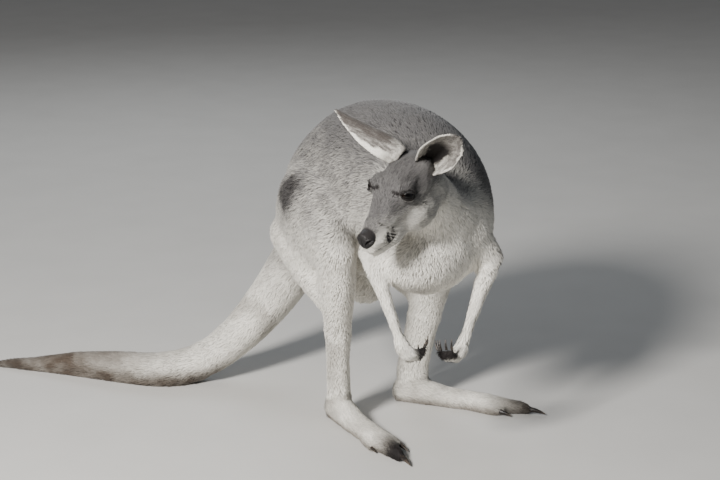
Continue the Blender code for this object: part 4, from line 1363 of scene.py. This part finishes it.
# a coarse copy of the hide, from which each piece's flat pattern is cut
coarse = new_object("coarse", mesh.copy())
fewer = coarse.modifiers.new("fewer", "DECIMATE")
fewer.ratio = 0.04
coarse_mesh = evaluated(coarse)
coarse_points = [v.co.copy() for v in coarse_mesh.vertices]
coarse_faces = [tuple(p.vertices) for p in coarse_mesh.polygons]
fine_tree = BVHTree.FromPolygons([Vector(p) for p in points], [tuple(t) for t in triangles.tolist()])
middles = [sum((coarse_points[i] for i in f), Vector()) / len(f) for f in coarse_faces]
coarse_home = triangles[[fine_tree.find_nearest(p)[2] for p in middles], 0]


def pattern_for(chosen):
    bm = bmesh.new()
    bm.from_mesh(coarse_mesh)
    bm.faces.ensure_lookup_table()
    away = [f for f in bm.faces if not chosen[coarse_home[f.index]]]
    bmesh.ops.delete(bm, geom=away, context="FACES")
    return flat_pattern(as_mesh(bm, "pattern"))


for name, (chosen, slot) in COAT_PIECES.items():
    mine = triangles[chosen[triangles[:, 0]]]
    which, share = rooted(mine, points, facts[:, 1], marks["bare"])
    corner = mine[which]

    def here(values):
        return np.sum(values[corner] * (share if values.ndim == 1 else share[:, :, None]), axis=1)

    root, normal = here(points), here(normals)
    normal /= np.linalg.norm(normal, axis=1)[:, None]
    count = len(root)
    depth, gap = here(facts[:, 0]), here(facts[:, 1])
    lean = laid(here(way), normal)
    stray = rng.normal(0, 0.16, count) + 0.30 * cloud(root, 0.030, 1) + 0.22 * cloud(root, 0.011, 2)
    side = np.cross(lean, normal)
    lean = lean * np.cos(stray)[:, None] + side * np.sin(stray)[:, None]
    finish = {
        "root": root,
        "normal": normal,
        "lean": lean,
        "height": np.maximum(depth, 0.0006) * rng.uniform(0.55, 1.02, count),
        "length": gap * rng.uniform(3.6, 6.0, count) * (1 - 0.32 * here(leaf)),
        "width": gap * rng.uniform(0.75, 1.15, count),
        "curl": rng.normal(0, 0.10, count),
        "tuft": rng.random(count),
    }
    finish.update({label: here(marks[label]) for label in MARKS})
    pattern = pattern_for(chosen)
    build_coat(name, finish, slot, pattern)
    if name == "coat_face":
        face_pattern = pattern
bpy.data.meshes.remove(coarse_mesh)

# ---------------------------------------------------------------- 11. Whiskers and lashes
# Single stiff hairs: black lashes along each upper lid, and long whiskers set in rows on the lips and brow.

hairs = {key: [] for key in ("root", "normal", "lean", "length", "width", "height", "curl", "tuft", *MARKS)}


def hair(root, lean, length, width, droop, dark):
    """Adds one hair, which droops by a share of its length."""
    lean = lean.normalized()
    normal = (Vector((0, 0, 1)) - lean * lean.z).normalized()
    values = (root[:], normal[:], lean[:], length, width, -droop * length, 0.0, 0.5, 0.4, 0.0, dark)
    for key, value in zip(hairs, values):
        hairs[key].append(value)


def hair_on_head(place, way, length, width, droop, dark):
    """Sets a hair in the hide nearest to a place of the head's frame."""
    root = fine_tree.find_nearest(HEAD @ Vector(place))[0]
    out = HEAD.to_3x3() @ Vector(way)
    hair(root - out.normalized() * 0.002, out, length, width, droop, dark)


for side in SIDES.values():
    for row in range(5):
        for k in range(5):
            at = (side * 0.035, 0.022 + 0.0065 * k + 0.002 * (row % 2), -0.005 - 0.0050 * row)
            way_out = (side * 0.90, 0.22 + 0.12 * k, -0.30 + 0.10 * (2 - row))
            hair_on_head(at, way_out, rng.uniform(0.022, 0.046), 0.0006, 0.16, 0.8 * (k < 3))
    for k in range(4):
        at, way_out = (side * 0.034, 0.092 + 0.006 * k, 0.055), (side * 0.55, -0.15 + 0.1 * k, 0.70)
        hair_on_head(at, way_out, rng.uniform(0.014, 0.026), 0.0005, 0.10, 0.8)
for place in EYES.values():
    for across in np.linspace(-0.85, 0.95, 34):
        up = UPPER_LID * (1 - (across / LID_REACH) ** 2) ** 0.72 + 0.05 + rng.uniform(0, 0.03)
        way_out = Vector((math.sin(across) * math.cos(up), math.sin(up), math.cos(across) * math.cos(up)))
        root = place @ (way_out * (EYE_BALL + LID - 0.0006))
        out = place.to_3x3() @ (way_out * 0.9 + Vector((0.25 * across, 0.30, 0)))
        hair(root, out, rng.uniform(0.0055, 0.0085), 0.00042, 0.25, 1.0)
hairs = {key: np.array(values, dtype=float) for key, values in hairs.items()}
build_coat("whiskers_and_lashes", hairs, "grey_coat", face_pattern)

# ---------------------------------------------------------------- 12. Floor, light and view
# A plain pale floor, a soft warm light high on the animal's right, a weak cool one before it and
# another behind it, in a pale room.


def floor_material():
    made, tree, shader = new_material("pale_floor")
    speck = noise(tree, object_place(tree), 6.0, 5.0)
    look = {"Base Color": blend(tree, speck, colour(192, 190, 186), colour(202, 200, 196)), "Roughness": 0.8}
    feed(tree, shader, look)
    return made


FLOOR_REACH = 30.0
mesh = bpy.data.meshes.new("floor")
corners = [(x * FLOOR_REACH, y * FLOOR_REACH, 0) for x, y in ((-1, -1), (1, -1), (1, 1), (-1, 1))]
mesh.from_pydata(corners, [], [(0, 1, 2, 3)])
mesh.materials.append(floor_material())
floor = new_object("floor", mesh)


def soft_light(name, place, aim, size, power, tint):
    data = bpy.data.lights.new(name, "AREA")
    data.shape = "DISK"
    data.size = size
    data.energy = power
    data.color = tint
    obj = new_object(name, data)
    obj.location = place
    obj.rotation_mode = "QUATERNION"
    obj.rotation_quaternion = (Vector(aim) - Vector(place)).to_track_quat("-Z", "Y")


MIDDLE = (0.03, -0.15, 0.35)
soft_light("key", (-3.35, -1.0, 2.35), MIDDLE, 0.8, 350.0, (1.0, 0.98, 0.95))
soft_light("fill", (1.4, -3.4, 1.6), MIDDLE, 2.6, 10.0, (0.80, 0.90, 1.0))
soft_light("back", (1.6, 2.4, 2.6), MIDDLE, 2.0, 36.0, (0.90, 0.95, 1.0))

room = bpy.data.worlds.new("room")
room.use_nodes = True
background = room.node_tree.nodes["Background"]
background.inputs[0].default_value = (0.84, 0.89, 0.97, 1)
background.inputs[1].default_value = 0.11
bpy.context.scene.world = room

lens = bpy.data.cameras.new("view")
lens.sensor_width = 36.0
lens.lens = 98.9
camera = new_object("view", lens)
camera.location = (-2.7968, -3.0330, 1.55)
camera.rotation_mode = "QUATERNION"
camera.rotation_quaternion = Vector((0.67972, 0.67972, -0.27564)).to_track_quat("-Z", "Y")
bpy.context.scene.camera = camera
